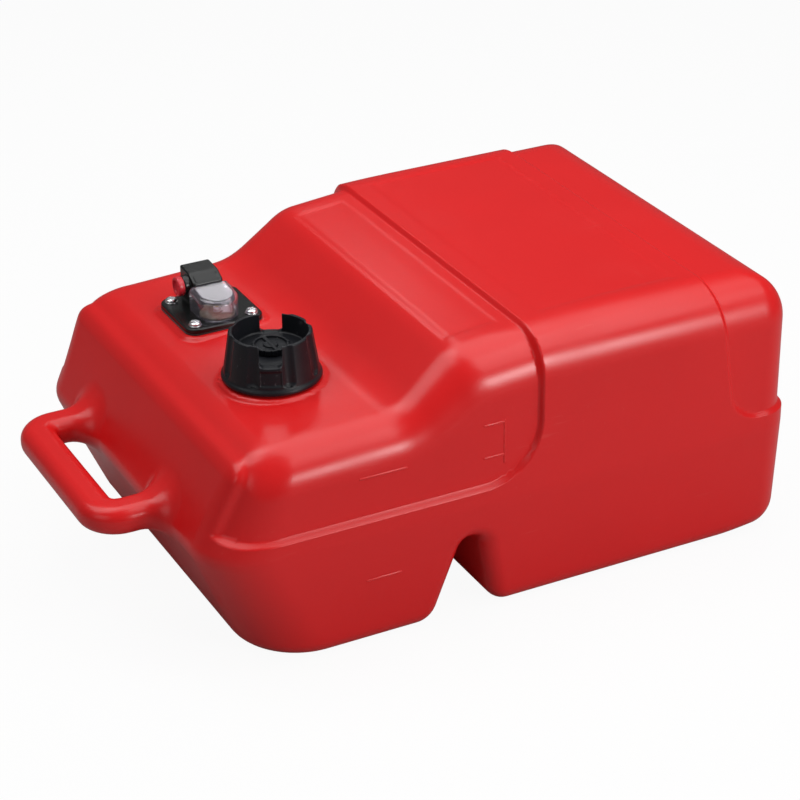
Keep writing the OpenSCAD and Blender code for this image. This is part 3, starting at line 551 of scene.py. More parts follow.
tank = bmesh.new()
bmesh.ops.create_grid(tank, x_segments=1, y_segments=1, size=0.5)
bmesh.ops.scale(tank, vec=(LENGTHS[-1] - LENGTHS[0], HEIGHTS[-1], 1), verts=tank.verts)
bmesh.ops.rotate(tank, cent=(0, 0, 0), matrix=Matrix.Rotation(math.pi / 2, 3, "X"), verts=tank.verts)
bmesh.ops.translate(tank, vec=((LENGTHS[-1] + LENGTHS[0]) / 2, WIDTHS[0], HEIGHTS[-1] / 2), verts=tank.verts)
slice_at(tank, 0, LENGTHS[1:-1])
slice_at(tank, 2, HEIGHTS[1:-1])
bmesh.ops.delete(tank, geom=faces_near(tank, in_notch), context="FACES")
made = bmesh.ops.extrude_face_region(tank, geom=tank.faces[:], use_keep_orig=True)
bmesh.ops.translate(tank, vec=(0, WIDTHS[-1] - WIDTHS[0], 0), verts=new_verts(made))
slice_at(tank, 1, WIDTHS[1:-1])
print("body:", len(tank.faces), "faces")

# %% Drawing the handle out of the front
ARM_IN, ARM_OUT = WIDTHS[3:5]
roots = faces_near(tank, lambda c: (c.x < FRONT + NEAR and ARM_IN < abs(c.y) < ARM_OUT
                                    and HEIGHTS[2] < c.z < HEIGHTS[4]))
arms = push(tank, roots, (HANDLE_LENGTHS[1] - HANDLE_LENGTHS[2], 0, 0))
push(tank, arms, (HANDLE_LENGTHS[0] - HANDLE_LENGTHS[1], 0, 0))
inner = faces_near(tank, lambda c: c.x < HANDLE_LENGTHS[1] and abs(abs(c.y) - ARM_IN) < NEAR)
rims = [e for e in {e for f in inner for e in f.edges} if sum(g in inner for g in e.link_faces) == 1]
bmesh.ops.delete(tank, geom=inner, context="FACES")
bmesh.ops.bridge_loops(tank, edges=[e for e in rims if e.is_valid])
bmesh.ops.delete(tank, geom=[e for e in tank.edges if not e.link_faces], context="EDGES")
bmesh.ops.recalc_face_normals(tank, faces=tank.faces)
open_edges = sum(1 for e in tank.edges if len(e.link_faces) != 2)
print("block:", len(tank.verts), "points,", len(tank.faces), "faces,", open_edges, "open edges")

# %% Cutting every lattice interval into its own number of cells
def cut_cells(bm, axis, lines, cells):
    """Give every interval between two lines along an axis its own number of cells."""
    others = [a for a in (0, 1, 2) if a != axis]
    for n in sorted(set(cells)):
        spans = [(lines[i], lines[i + 1]) for i in range(len(cells)) if cells[i] == n]
        chosen = []
        for e in bm.edges:
            a, b = e.verts[0].co, e.verts[1].co
            low, high = min(a[axis], b[axis]), max(a[axis], b[axis])
            level_edge = all(abs(a[o] - b[o]) < NEAR for o in others)
            if level_edge and any(abs(low - s[0]) < NEAR and abs(high - s[1]) < NEAR for s in spans):
                chosen.append(e)
        bmesh.ops.subdivide_edges(bm, edges=chosen, cuts=n - 1, use_grid_fill=True)


cut_cells(tank, 0, HANDLE_LENGTHS + LENGTHS[1:], HANDLE_CELLS + LENGTH_CELLS)
cut_cells(tank, 1, WIDTHS, WIDTH_CELLS)
cut_cells(tank, 2, HEIGHTS, HEIGHT_CELLS)
print("sliced:", len(tank.faces), "faces,", sum(len(f.verts) != 4 for f in tank.faces), "not quads")

# %% [markdown]
# The lattice is still square. Each of its corner points has a real place on the tank, so the fine
# points between them are moved by the same table, in straight proportion. That leans the front and
# the ramp, and closes the channel towards its crown, while the rows of quads keep following the
# edges of the strip and the band.

# %% Leaning the lattice to the tank's outline
LATTICE = [-255, -229] + LENGTHS
PLACE_X = np.array([
    [-255, -229, -165.9, -128, -36.5, -13, 11.5, 37.5, 49.5, 196, 208, 255],
    [-255, -229, -192.0, -130, -14.5, -8, -0.5, 37.5, 49.5, 196.5, 208.5, 255],
    [-255, -229, -201.8, -140, -42, -17, 4, 37.5, 49.5, 196.5, 208.5, 255],
    [-255, -229, -199.8, -142, -50, -25, 10, 37.5, 49.5, 196.5, 208.5, 255],
    [-255, -229, -196.3, -144, -52, -26, 11, 37.5, 49.5, 196.2, 208.2, 255],
    [-255, -229, -172.1, -148, -62, -50, 8, 37.5, 49.5, 188.3, 200.3, 255],
    [-255, -229, -172.1, -148, -62, -10.5, 15, 37.5, 49.5, 181.5, 193.5, 255]])
PLACE_Z = np.array([[h] * len(LATTICE) for h in HEIGHTS], float)
PLACE_Z[5, :6] = (159.3, 159.3, 159.3, 160.4, 164.2, 164.9)
PLACE_Z[6, 5:] = (198, 200.5, 203, 207.5, 207.5, 205, 205)


def lean(p):
    """Move points by the table, in straight proportion within each lattice cell."""
    u, v = np.array(LATTICE, float), np.array(HEIGHTS, float)
    i = np.clip(np.searchsorted(u, p[:, 0], side="right") - 1, 0, len(u) - 2)
    j = np.clip(np.searchsorted(v, p[:, 2], side="right") - 1, 0, len(v) - 2)
    s = (p[:, 0] - u[i]) / (u[i + 1] - u[i])
    t = (p[:, 2] - v[j]) / (v[j + 1] - v[j])
    moved = p.copy()
    for k, table in ((0, PLACE_X), (2, PLACE_Z)):
        moved[:, k] = ((1 - s) * (1 - t) * table[j, i] + s * (1 - t) * table[j, i + 1]
                       + (1 - s) * t * table[j + 1, i] + s * t * table[j + 1, i + 1])
    return moved


# %% [markdown]
# Pulling a point onto a form is a few steps of Newton's method: the form's value says how far the
# point still is, and its slope says which way. At the small steps of the panels the slope turns
# quickly, and rows of points could cross. So the way comes from a softer version of the same form,
# and only the length of the move from the sharp one. The few rows that still cross are evened out.
# The normals come from the form too, which keeps the reflections free of the mesh's own facets.

# %% Pulling points onto a form
SLOPE_STEP, LEAST_SLOPE, LEAST_LENGTH, CROSSED = 0.25, 0.4, 0.2, 0.85


def points_of(bm):
    return np.array([v.co for v in bm.verts], float).reshape(-1, 3)


def set_points(bm, p):
    for v, co in zip(bm.verts, p):
        v.co = co


def slope_of(form, p):
    """Direction in which the form's distance grows fastest."""
    slope = np.empty_like(p)
    for k in range(3):
        step = np.zeros(3)
        step[k] = SLOPE_STEP
        slope[:, k] = (form(p + step) - form(p - step)) / (2 * SLOPE_STEP)
    return slope


def unit(vectors):
    return vectors / np.linalg.norm(vectors, axis=1)[:, None]


def pull(form, along, q):
    """One step of each point towards the form, along the direction that the softer form gives."""
    way = slope_of(along, q)
    way /= np.maximum(np.linalg.norm(way, axis=1), LEAST_LENGTH)[:, None]
    steep = (form(q + SLOPE_STEP * way) - form(q - SLOPE_STEP * way)) / (2 * SLOPE_STEP)
    return q - (form(q) / np.maximum(steep, LEAST_SLOPE))[:, None] * way


def smooth(bm, verts):
    bmesh.ops.smooth_vert(bm, verts=verts, factor=0.5, use_axis_x=True, use_axis_y=True, use_axis_z=True)


def settle(bm, form, rounds=4, near=None, along=None):
    """Pull points onto the form, let neighbours even out once, pull again, and return the normals.
    With near, only the points that lie within that distance of the form take part."""
    p = points_of(bm)
    chosen = np.ones(len(p), bool) if near is None else np.abs(form(p)) < near
    for smooth_after in (True, False):
        for _ in range(rounds):
            p[chosen] = pull(form, along or form, p[chosen])
        set_points(bm, p)
        if smooth_after:
            smooth(bm, [v for v, c in zip(bm.verts, chosen) if c])
            p = points_of(bm)
    off = np.abs(form(p[chosen]))
    print("settled", int(chosen.sum()), "points; furthest from the form", round(float(off.max()), 3), "mm")
    bm.normal_update()
    normals = np.array([v.normal for v in bm.verts])
    normals[chosen] = unit(slope_of(form, p[chosen]))
    return normals


def unfold(bm, form, along, normals, tries=6):
    """Even out the few places where rows still crossed, and pull them back onto the form."""
    bm.verts.index_update()
    for _ in range(tries):
        bm.normal_update()
        ring = {v for v, n in zip(bm.verts, normals) if v.normal.dot(n) < CROSSED}
        if not ring:
            break
        for _ in range(2):
            ring |= {w for v in ring for f in v.link_faces for w in f.verts}
        ring = list(ring)
        for _ in range(5):
            smooth(bm, ring)
        q = np.array([v.co for v in ring])
        for _ in range(5):
            q = pull(form, along, q)
        for v, co, n in zip(ring, q, unit(slope_of(form, q))):
            v.co = co
            normals[v.index] = n
    print("unfolded; last ring", len(ring), "points")


# %% The tank takes its form
SOFT_EDGE = 40


def soft_tank_form(p):
    return tank_form(p, SOFT_EDGE)


set_points(tank, lean(points_of(tank)))
tank_normals = settle(tank, tank_form, rounds=6, along=soft_tank_form)
unfold(tank, tank_form, soft_tank_form, tank_normals)


# %% [markdown]
# Every new mesh becomes a piece in the same way: it is made metres, shaded smooth, given its finish,
# and told which body of the assembly it moves with.

# %% A helper that turns a finished mesh into a piece
def piece(bm, name, body, material, stands_for=(), normals=None):
    """Millimetres to metres, smooth shading, and the piece rides on its CAD body."""
    bmesh.ops.scale(bm, vec=(0.001,) * 3, verts=bm.verts)
    mesh = bpy.data.meshes.new(name)
    bm.to_mesh(mesh)
    bm.free()
    mesh.materials.append(material)
    mesh.polygons.foreach_set("use_smooth", [True] * len(mesh.polygons))
    if normals is not None:
        mesh.normals_split_custom_set_from_vertices(unit(normals).tolist())
    shown = bpy.data.objects.new(name, mesh)
    bpy.context.scene.collection.objects.link(shown)
    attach(shown, body)
    if stands_for:
        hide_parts(*stands_for)
    print(name, len(mesh.polygons), "faces")
    return shown


piece(tank, "moulded_tank", "tank", tank_finish, ["tank_shell"], tank_normals)

# %% [markdown]
# The level marks on the near side are plain raised ticks that a filler reads the fuel's height by.
# Each is a small bar with soft edges, sunk half into the wall that it was moulded with.

# %% Level ticks
TICKS = [(-94, -58, 132.5), (-91, -64, 54), (0, 16.5, 148.3), (0, 16.5, 123.3)]
TICK_H, TICK_PROUD, TICK_SUNK, TICK_SOFT = 1.8, 0.5, 1.5, 0.7
STEM_X, STEM_LOW, STEM_HIGH = 16.5, 116, 150


def bar(bm, low, high, soft):
    """A box between two corners with edges rounded by soft."""
    made = bmesh.ops.create_cube(bm, size=1)["verts"]
    bmesh.ops.scale(bm, vec=[b - a for a, b in zip(low, high)], verts=made)
    bmesh.ops.translate(bm, vec=[(a + b) / 2 for a, b in zip(low, high)], verts=made)
    edges = list({e for v in made for e in v.link_edges})
    bmesh.ops.bevel(bm, geom=edges, offset=soft, affect="EDGES", segments=3, profile=0.5, material=-1)


def near_wall(z):
    """Where the near wall's outside is at that height."""
    return -HALF_WIDTH + (PANEL_STEP if z > LEDGE else DRAFT * (RIDGE - z) / RIDGE)


def tick(bm, x0, x1, z0, z1):
    wall = near_wall((z0 + z1) / 2)
    bar(bm, (x0, wall - TICK_PROUD, z0), (x1, wall + TICK_SUNK, z1), TICK_SOFT)


ticks = bmesh.new()
for x0, x1, z in TICKS:
    tick(ticks, x0, x1, z - TICK_H / 2, z + TICK_H / 2)
tick(ticks, STEM_X - TICK_H / 2, STEM_X + TICK_H / 2, STEM_LOW, STEM_HIGH)
piece(ticks, "level_ticks", "tank", tank_finish)

# %% [markdown]
# ## The filler neck
# Under the cap the moulding rises into a neck with a coarse thread of 6 mm pitch. It is a profile
# spun round, and the thread is one ridge that climbs: a small outline spun with a rise at each step.

# %% Neck and its thread
NECK_R, NECK_BORE, NECK_TOP, NECK_FOOT = 25.0, 21.5, 177.8, 161
RIM_OUT_R, RIM_IN_R = 1.2, 1.0
THREAD_PITCH, THREAD_PROUD, THREAD_ROOT, THREAD_Z = 6.0, 1.1, 0.4, 167.5
THREAD_CREST_H, THREAD_ROOT_H, STEPS_A_TURN, THREAD_STEPS = 0.8, 3.0, 64, 72


def spun(bm, outline, centre, steps=96, closed=True):
    """Spin an outline of (radius, height) points once round the vertical through the centre.
    A closed outline makes a ring. An open one starts and ends on the axis, where its poles merge."""
    verts = [bm.verts.new((centre[0] + r, centre[1], z)) for r, z in outline]
    pairs = list(zip(verts, verts[1:] + verts[:1])) if closed else list(zip(verts, verts[1:]))
    edges = [bm.edges.new(p) for p in pairs]
    bmesh.ops.spin(bm, geom=verts + edges, cent=(*centre, 0), axis=(0, 0, 1), dvec=(0, 0, 0),
                   angle=2 * math.pi, steps=steps, use_merge=True)
    bmesh.ops.remove_doubles(bm, verts=bm.verts, dist=1e-4)
    bmesh.ops.recalc_face_normals(bm, faces=bm.faces)


def arc(centre, r, start, end, steps=5):
    """Points (radius, height) along an arc, in degrees."""
    angles = [math.radians(start + (end - start) * i / steps) for i in range(steps + 1)]
    return [(centre[0] + r * math.cos(a), centre[1] + r * math.sin(a)) for a in angles]


neck = bmesh.new()
rim = (arc((NECK_R - RIM_OUT_R, NECK_TOP - RIM_OUT_R), RIM_OUT_R, 0, 90)
       + arc((NECK_BORE + RIM_IN_R, NECK_TOP - RIM_IN_R), RIM_IN_R, 90, 180))
spun(neck, [(NECK_R, NECK_FOOT)] + rim + [(NECK_BORE, NECK_FOOT)], (CAP_X, CAP_Y))
thread = [(-THREAD_ROOT, -THREAD_ROOT_H / 2), (THREAD_PROUD, -THREAD_CREST_H / 2),
          (THREAD_PROUD, THREAD_CREST_H / 2), (-THREAD_ROOT, THREAD_ROOT_H / 2)]
section = neck.faces.new([neck.verts.new((CAP_X + NECK_R + r, CAP_Y, THREAD_Z + z)) for r, z in thread])
bmesh.ops.spin(neck, geom=[section], cent=(CAP_X, CAP_Y, 0), axis=(0, 0, 1),
               dvec=(0, 0, THREAD_PITCH / STEPS_A_TURN), steps=THREAD_STEPS, use_merge=False,
               angle=2 * math.pi * THREAD_STEPS / STEPS_A_TURN)
bmesh.ops.recalc_face_normals(neck, faces=neck.faces)
piece(neck, "filler_neck", "tank", tank_finish)

# %% [markdown]
# ## Small hard pieces: an even skin, pulled onto a rounded form
# The cap, the vent knob, the gauge's housing and its lens are hard mouldings with many edges that
# meet at odd angles. Bevelling all of those would leave pinched corners. Instead a copy of the
# solid gets an even skin of small quads from the Remesh modifier, and then each point of the skin
# is pulled onto a formula of the same shape that has its edges rounded, as the mould's own are.

# %% An even skin over a copy of a CAD node
def solid_of(node, merge):
    """A copy of the node's solid in millimetres, with its facets joined."""
    bm = bmesh.new()
    bm.from_mesh(nodes[node].data)
    bmesh.ops.scale(bm, vec=(1000,) * 3, verts=bm.verts)
    bmesh.ops.remove_doubles(bm, verts=bm.verts, dist=merge)
    return bm


def skin_of(node, cell):
    """The node's solid as small quads, in millimetres."""
    bm = solid_of(node, 0.004)
    mesh = bpy.data.meshes.new("skin")
    bm.to_mesh(mesh)
    bm.free()
    holder = bpy.data.objects.new("skin", mesh)
    bpy.context.scene.collection.objects.link(holder)
    remesh = holder.modifiers.new("even", "REMESH")
    remesh.mode, remesh.voxel_size = "VOXEL", cell
    bm = bmesh.new()
    bm.from_object(holder, bpy.context.evaluated_depsgraph_get())
    bpy.data.objects.remove(holder)
    bpy.data.meshes.remove(mesh)
    print(node, "skin of", len(bm.faces), "quads")
    return bm


def skinned(name, node, cell, form, near, body, material):
    """A piece that stands for the node: its skin, with the points near the form pulled onto it."""
    skin = skin_of(node, cell)
    piece(skin, name, body, material, [node], settle(skin, form, near=near))


# %% [markdown]
# ## The filler cap
# The cap is screwed down by hand: two tall crescents stand round a recess, a notch runs between
# them, and shallow flutes in the skirt give the fingers a hold. Below each notch lies a plain,
# slightly sunken panel.

# %% Cap grip
SKIRT_R, SKIRT_TOP_R, SKIRT_RISE, BRIM_R, BRIM_TOP = 33.5, 28.8, 3.4, 35, 168.4
CAP_TOP, CAP_FLOOR, CAP_BASE, CROWN_R = 199.2, 184.5, 165.7, 26.2
NOTCH_HALF, NOTCH_TURN = 7.75, math.radians(-25)
FLUTES, FLUTE_R, FLUTE_OUT, FLUTE_LEAN, FLUTE_Z = 8, 7.0, 38.3, 0.1495, 170.2
SUNK, SUNK_HALF, SUNK_LOW, SUNK_HIGH = 1.0, 7.2, 172, 182
CORE_R, CORE_TOP, STEM_HOLE_R = 28.6, 182.1, 5.2


def grip_form(p):
    x, y, z = p[:, 0] - CAP_X, p[:, 1] - CAP_Y, p[:, 2]
    r = np.hypot(x, y)
    across = np.abs(x * math.cos(NOTCH_TURN) + y * math.sin(NOTCH_TURN))
    taper = (SKIRT_R - SKIRT_TOP_R) / (CAP_TOP - CAP_BASE - SKIRT_RISE)
    panel = step_up(SUNK_HALF - across, 1.2) * step_up(z - SUNK_LOW, 1.6) * step_up(SUNK_HIGH - z, 1.6)
    skirt = r - SKIRT_R + taper * (z - CAP_BASE - SKIRT_RISE) + SUNK * panel
    skirt = skirt * math.cos(math.atan(taper))
    for i in range(FLUTES):
        a = NOTCH_TURN + 2 * math.pi * (i + 0.5) / FLUTES
        out, aside = x * math.cos(a) + y * math.sin(a), y * math.cos(a) - x * math.sin(a)
        flute = np.hypot((out - FLUTE_OUT + FLUTE_LEAN * (z - FLUTE_Z)) * 0.989, aside) - FLUTE_R
        skirt = both_inside(skirt, -both_inside(flute, FLUTE_Z + 0.4 - z, 2.5), 0.9)
    body = either(both_inside(skirt, z - CAP_TOP, 1.1), both_inside(r - BRIM_R, z - BRIM_TOP, 1.3), 1.6)
    recess = both_inside(r - CROWN_R, CAP_FLOOR - z, 1.5)
    notch = both_inside(across - NOTCH_HALF, CAP_FLOOR + 0.1 - z, 3.5)
    body = both_inside(body, -either(recess, notch, 0.5), 0.7)
    cavity = both_inside(r - CORE_R, z - CORE_TOP, 1)
    body = both_inside(both_inside(body, -cavity, 0.4), STEM_HOLE_R - r, 0.4)
    return both_inside(body, CAP_BASE - z, 0.6)


# The strong edge lightening here paints a highlight onto the cap's rims and notch edges, on top of handling
# wear.
cap_finish = moulded("black_polypropylene", (0.008, 0.009, 0.012), 0.36, drift_by=(0.10, 0.08, 900.0),
                     grain_by=(1500.0, 160.0, 0.3, 0.22, 0.0002), scuff=0.5, pale_to=(0.14, 0.14, 0.155),
                     edge_wear_and_highlight_by=0.9, shine=0.28)
skinned("cap_grip_moulding", "cap_grip", 0.6, grip_form, 1.4, "cap", cap_finish)

# %% [markdown]
# The vent knob sits in the recess. A bar across its sunken top is what a thumb and a finger turn.

# %% Vent knob
KNOB_R, KNOB_BASE, KNOB_TOP, STEM_R, STEM_END = 13.0, 184.9, 189.3, 3.0, 172.8
GROOVES, GROOVE_R, GROOVE_OUT = 16, 1.0, 13.4
DISH_R, DISH_DEPTH, HUB_R, HUB_SUNK, BAR_HALF, BAR_REACH, BAR_SUNK = 11, 2, 5, 0.6, 1.5, 11.5, 0.4


def knob_form(p):
    x, y, z = p[:, 0] - CAP_X, p[:, 1] - CAP_Y, p[:, 2]
    r = np.hypot(x, y)
    disc = r - KNOB_R
    for i in range(GROOVES):
        a = 2 * math.pi * i / GROOVES
        groove = np.hypot(x - GROOVE_OUT * math.cos(a), y - GROOVE_OUT * math.sin(a)) - GROOVE_R
        disc = both_inside(disc, -groove, 0.3)
    disc = both_inside(disc, z - KNOB_TOP, 0.7)
    disc = both_inside(disc, -both_inside(r - DISH_R, KNOB_TOP - DISH_DEPTH - z, 0.6), 0.5)
    sides = both_inside(np.abs(x) - BAR_HALF, np.abs(y) - BAR_REACH, 0.3)
    turning_bar = both_inside(sides, z - KNOB_TOP + BAR_SUNK, 0.6)
    hub = both_inside(r - HUB_R, z - KNOB_TOP + HUB_SUNK, 0.6)
    disc = both_inside(either(either(disc, turning_bar, 0.5), hub, 0.5), KNOB_BASE - z, 0.4)
    stem = both_inside(r - STEM_R, np.maximum(STEM_END - z, z - KNOB_TOP + DISH_DEPTH), 0.4)
    return either(disc, stem, 0.3)


skinned("vent_knob_moulding", "vent_knob", 0.34, knob_form, 0.9, "vent", cap_finish)

# %% [markdown]
# ## The withdrawal fitting
# A square flange is screwed down on a gasket. The tower behind carries the outlet, and its top
# falls a little towards the lens, with a chamfered band along the front. The bores and the hollow
# hub keep the solid's own surface, because only points near the formula are moved.

# %% Gauge housing
FLANGE_BASE, FLANGE_TOP, FLANGE_HALF, FLANGE_CORNER = 165.0, 168.5, 29.9, 9
TOWER_TOP, TOWER_HALF, TOWER_FRONT, TOWER_BACK = 193.0, 11.5, 3.0, 29.0
BROW, CHIN = (12, TOWER_TOP - 0.8), (TOWER_FRONT, TOWER_TOP - 5.5)
STRIPE_RAISED, STRIPE_HALF, STRIPE_Y, STRIPE_REACH = 0.5, 9, 7, 2.6
OUTLET_Y, OUTLET_Z, PORT_END, BOSS_R = 74.0, 183.0, -119.5, 7.2


def housing_form(p):
    x, y, z = p[:, 0] - GAUGE_X, p[:, 1] - GAUGE_Y, p[:, 2]
    flange = both_inside(rounded_square(x, y, FLANGE_HALF, FLANGE_CORNER), z - FLANGE_TOP, 1.1)
    middle, half_depth = (TOWER_FRONT + TOWER_BACK) / 2, (TOWER_BACK - TOWER_FRONT) / 2
    sides = both_inside(np.abs(x) - TOWER_HALF, np.abs(y - middle) - half_depth, 1.6)
    sloped = above_line(y, z, BROW, (TOWER_BACK, TOWER_TOP))
    stripe = both_inside(np.abs(x) - STRIPE_HALF, np.abs(y - STRIPE_Y) - STRIPE_REACH, 1)
    chamfer = above_line(y, z, CHIN, BROW) + STRIPE_RAISED * step_up(stripe, -1.0)
    tower = both_inside(sides, both_inside(sloped, chamfer, 0.6), 1.1)
    from_bore = np.hypot(p[:, 1] - OUTLET_Y, z - OUTLET_Z)
    boss = both_inside(from_bore - BOSS_R, PORT_END - p[:, 0], 0.8)
    boss = both_inside(boss, x + TOWER_HALF - 1, 0.1)
    return both_inside(either(either(flange, tower, 1.2), boss, 0.8), FLANGE_BASE - z, 0.3)


fitting_finish = moulded("black_acetal", (0.008, 0.009, 0.009), 0.24, drift_by=(0.08, 0.06, 900.0),
                         grain_by=(1300.0, 120.0, 0.4, 0.15, 0.0002), scuff=0.4, pale_to=(0.06, 0.06, 0.065),
                         edge_wear_and_highlight_by=0.4, shine=0.4)
skinned("gauge_housing_moulding", "gauge_housing", 0.55, housing_form, 0.8, "tank", fitting_finish)

# %% [markdown]
# The four screws have pan heads with a cross recess. A head is a domed profile spun round, and the
# recess is pressed into it by lowering the points that lie within the cross.

# %% Flange screws and washers
SCREW_AT, SHANK_R, SHANK_END = 22.0, 2.4, 155.3
HEAD_R, HEAD_H, HEAD_SIDE_H, HEAD_EDGE = 4.2, 2.6, 1.1, 0.4
WASHER_TOP, WASHER_R, WASHER_HOLE_R, WASHER_EDGE = 169.3, 4.8, 2.6, 0.2
DOME_R, DOME_H, DOME_FOOT = HEAD_R * 0.995, HEAD_H - HEAD_SIDE_H, WASHER_TOP + HEAD_SIDE_H
CROSS_HALF, CROSS_REACH, CROSS_DEPTH = 0.55, 2.6, 1.3


def cross_depth(x, y):
    """How far the cross recess lowers the head there."""
    narrow, far = np.minimum(np.abs(x), np.abs(y)), np.maximum(np.abs(x), np.abs(y))
    return CROSS_DEPTH * step_up(CROSS_HALF - narrow, 0.3) * step_up(CROSS_REACH - far, 0.6)


head = [(DOME_R * math.sin(math.radians(a)), DOME_FOOT + DOME_H * math.cos(math.radians(a)))
        for a in range(0, 91, 3)]
head += arc((HEAD_R - HEAD_EDGE, WASHER_TOP + HEAD_EDGE), HEAD_EDGE, 0, -90)[1:]
shank = [(SHANK_R, WASHER_TOP), (SHANK_R, SHANK_END), (0, SHANK_END)]
ring = (arc((WASHER_R - WASHER_EDGE, WASHER_TOP - WASHER_EDGE), WASHER_EDGE, 0, 90, 3)
        + arc((WASHER_HOLE_R + WASHER_EDGE, WASHER_TOP - WASHER_EDGE), WASHER_EDGE, 90, 180, 3)
        + [(WASHER_HOLE_R, FLANGE_TOP), (WASHER_R, FLANGE_TOP)])
screws, washers = bmesh.new(), bmesh.new()
for sx, sy in ((-1, -1), (-1, 1), (1, -1), (1, 1)):
    at = (GAUGE_X + sx * SCREW_AT, GAUGE_Y + sy * SCREW_AT)
    spun(washers, ring, at, steps=48)
    spun(screws, head + shank, at, steps=64, closed=False)
    p = points_of(screws)
    turn = 0.4 + 0.7 * sx + 0.3 * sy
    u, v = p[:, 0] - at[0], p[:, 1] - at[1]
    lower = cross_depth(u * math.cos(turn) + v * math.sin(turn), v * math.cos(turn) - u * math.sin(turn))
    p[:, 2] -= np.where(p[:, 2] > WASHER_TOP + 0.9, lower, 0)
    set_points(screws, p)

# %% [markdown]
# Screws and washers are bright stainless steel, and the bushing, the inserts and the gauge's shafts
# are turned brass. Bare metal has no pigment under a skin, so its tone comes from Metallic, and fine
# lines from turning break up its reflections.

# %% Metal finishes
TURNED = 1200.0


def metal(name, colour, roughness, brushed):
    """Metal with a drifting tone, fine turned lines, and rubbed spots that are smoother."""
    finish, tree, shader = new_finish(name)
    shader.inputs["Metallic"].default_value = 1.0
    toned = use_group(tree, drift, Color=(*colour, 1), Broad=0.10, Fine=0.08, Fine_Scale=TURNED)
    link_nodes(tree, toned, "Color", shader, "Base Color")
    marks = use_group(tree, scuffs, Amount=0.6, Length=80.0)
    rough = add(tree, "MapRange", [(marks, "Rubbed", "Value")], i3=roughness + 0.10, i4=roughness)
    rougher = add(tree, "Math", [(marks, "Mask", 0), (rough, 0, 2)], operation="MULTIPLY_ADD", i1=0.3)
    link_nodes(tree, rougher, 0, shader, "Roughness")
    add_grain(tree, shader, TURNED * 2, TURNED / 3, 0.5, brushed, 0.0001)
    print("finish", name)
    return finish


steel_finish = metal("bright_steel", (0.80, 0.80, 0.82), 0.14, 0.10)
brass_finish = metal("turned_brass", (0.76, 0.54, 0.22), 0.20, 0.25)
piece(screws, "flange_screw_set", "tank", steel_finish, ["flange_screws"])
piece(washers, "screw_washer_set", "tank", steel_finish, ["screw_washers"])

# %% [markdown]
# The lens is a thin clear shell, smoke tinted, round at the front and square to the tower, with a
# top that rises towards it. Outside and inside are both rounded, so its wall bends the light evenly.

# %% Gauge lens
LENS_Y, LENS_R, LENS_WALL, LENS_BACK = 48.5, 15.5, 1.8, 13.4
LENS_FRONT_TOP, LENS_BACK_TOP = 183.0, 186.0


def lens_form(p):
    x, y, z = p[:, 0] - GAUGE_X, p[:, 1] - LENS_Y, p[:, 2]
    plan = np.where(y < 0, np.hypot(x, y), np.abs(x)) - LENS_R
    roof = above_line(y, z, (-LENS_R, LENS_FRONT_TOP), (LENS_BACK + 0.1, LENS_BACK_TOP))
    outside = both_inside(plan, roof, 4.0)
    inside = both_inside(plan + LENS_WALL, roof + LENS_WALL, 2.2)
    shell = both_inside(outside, -inside, 0.3)
    return both_inside(both_inside(shell, y - LENS_BACK, 0.3), FLANGE_TOP - z, 0.2)


clear, tree, shader = new_finish("smoked_clear_plastic")
shader.inputs["Transmission Weight"].default_value = 0.95
shader.inputs["IOR"].default_value = 1.49
toned = use_group(tree, drift, Color=(0.84, 0.79, 0.90, 1), Broad=0.05, Fine=0.03, Fine_Scale=500.0)
link_nodes(tree, toned, "Color", shader, "Base Color")
marks = use_group(tree, scuffs, Amount=0.5, Length=60.0)
rough = add(tree, "MapRange", [(marks, "Mask", "Value")], i3=0.03, i4=0.3)
link_nodes(tree, rough, 0, shader, "Roughness")
add_grain(tree, shader, 400.0, 90.0, 0.7, 0.05, 0.0003)
skinned("gauge_lens_shell", "gauge_lens", 0.42, lens_form, 2.4, "tank", clear)

# %% [markdown]
# The outlet is closed by a red push-in plug with a rounded rim and a sunken middle. Under the rim
# a groove holds its seal, and a thin lip shields the seal from spray. It is a spun profile that is
# drawn upright and then laid over, so that it points towards the handle.

# %% Outlet plug
PLUG_X, PLUG_R, PLUG_T, SPIGOT_R, SPIGOT_L, SPIGOT_TAPER = -120.7, 7.25, 3.6, 3.92, 12.15, 0.6
DIMPLE_R, DIMPLE_DEPTH, DIMPLE_EDGE, RIM_IN, RIM_EDGE = 4.3, 1.5, 0.75, 0.4, 1.0
LIP_R, LIP_H, LIP_EDGE, GROOVE_OUT_R, GROOVE_IN_R, GROOVE_TOP = 6.85, 1.05, 0.15, 6.05, 4.0, 0.5
dimple = ([(0, PLUG_T - DIMPLE_DEPTH), (DIMPLE_R, PLUG_T - DIMPLE_DEPTH)]
          + arc((DIMPLE_R, PLUG_T - DIMPLE_DEPTH + DIMPLE_EDGE), DIMPLE_EDGE, -90, 0, 4)[1:])
rim = (arc((DIMPLE_R + DIMPLE_EDGE + RIM_IN, PLUG_T - RIM_IN), RIM_IN, 180, 90, 4)
       + arc((PLUG_R - RIM_EDGE, PLUG_T - RIM_EDGE), RIM_EDGE, 90, 0, 6))
lip = [(PLUG_R, LIP_EDGE - LIP_H), (PLUG_R - 0.1, -LIP_H), (LIP_R + 0.1, -LIP_H), (LIP_R, LIP_EDGE - LIP_H),
       (LIP_R, 0)]
groove = [(GROOVE_OUT_R, 0), (GROOVE_OUT_R, GROOVE_TOP), (GROOVE_IN_R, GROOVE_TOP), (SPIGOT_R, 0.4)]
spigot = [(SPIGOT_R, SPIGOT_TAPER - SPIGOT_L), (SPIGOT_R - SPIGOT_TAPER, -SPIGOT_L), (0, -SPIGOT_L)]
plug = bmesh.new()
spun(plug, dimple + rim + lip + groove + spigot, (0, 0), steps=80, closed=False)
bmesh.ops.rotate(plug, cent=(0, 0, 0), matrix=Matrix.Rotation(-math.pi / 2, 3, "Y"), verts=plug.verts)
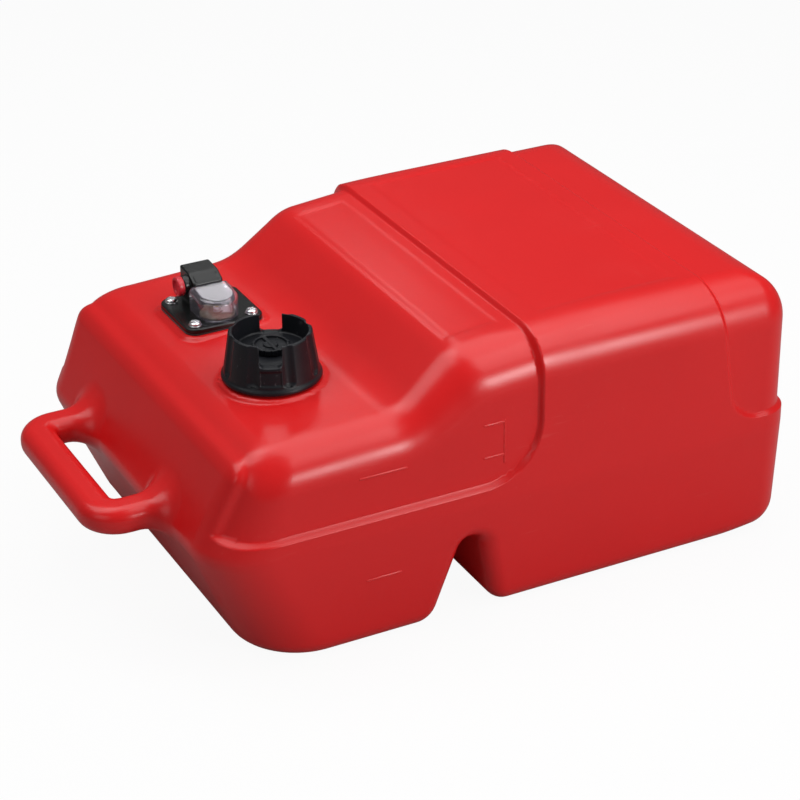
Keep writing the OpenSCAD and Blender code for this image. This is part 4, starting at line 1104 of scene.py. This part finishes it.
bmesh.ops.translate(plug, vec=(PLUG_X, OUTLET_Y, OUTLET_Z), verts=plug.verts)
plug_finish = moulded("red_plug_plastic", (0.60, 0.020, 0.035), 0.30, drift_by=(0.10, 0.05, 700.0),
                      grain_by=(1400.0, 150.0, 0.4, 0.12, 0.0002), scuff=0.4, pale_to=(0.75, 0.25, 0.25),
                      edge_wear_and_highlight_by=0.5)
piece(plug, "outlet_plug", "plug", plug_finish, ["port_plug"])

# %% [markdown]
# The check valve's spring is a wire helix that presses the ball onto its seat. When the ball lifts,
# the lowest turn rises with it and the turns draw together. A bone chain or a shape key could do
# that.

# %% The check valve's spring
spring = solid_of("check_spring", 0.001)
spring_wire = piece(spring, "check_spring_wire", "tank", steel_finish, ["check_spring"])
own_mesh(spring_wire)

# %% [markdown]
# ## Finishes for the pieces that keep their solids
# Everything else has the right shape already. Much of it is hidden inside, but it shows when the
# cap lifts or the plug is drawn, and through the lens.

# %% Rubber, nylon and the printed dial
rubber_finish = moulded("black_nitrile", (0.020, 0.020, 0.021), 0.72, drift_by=(0.15, 0.12, 1100.0),
                        grain_by=(1700.0, 200.0, 0.4, 0.5, 0.0003), scuff=0.5, pale_to=(0.07, 0.07, 0.07),
                        sheen=0.2)
nylon_finish = moulded("natural_nylon", (0.80, 0.77, 0.68), 0.42, drift_by=(0.06, 0.04, 800.0),
                       grain_by=(1300.0, 120.0, 0.4, 0.15, 0.0002), scuff=0.3, pale_to=(0.88, 0.86, 0.80),
                       edge_wear_and_highlight_by=0.2)
dial_finish = moulded("printed_dial", (0.20, 0.15, 0.07), 0.40, drift_by=(0.6, 0.3, 260.0),
                      grain_by=(900.0, 140.0, 0.4, 0.3, 0.0003), scuff=0.5, pale_to=(0.55, 0.50, 0.36),
                      edge_wear_and_highlight_by=0.4)
KEPT = {cap_finish: ["cap_core"], fitting_finish: ["gear_cage"], dial_finish: ["dial_plate"],
        rubber_finish: ["cap_gasket", "vent_seal", "gauge_gasket", "plug_seal"],
        brass_finish: ["flange_inserts", "drive_shaft", "pivot_pin", "check_seat", "port_bushing",
                       "pickup_strainer"],
        steel_finish: ["check_ball", "float_arm", "float_clip"],
        nylon_finish: ["splash_guard", "pointer", "drive_pinion", "arm_gear", "float", "pickup_tube"]}
for finish, names in KEPT.items():
    for name in names:
        for place in nodes[name].material_slots:
            place.link = "OBJECT"
            place.material = finish
print("kept solids:", sum(len(names) for names in KEPT.values()))
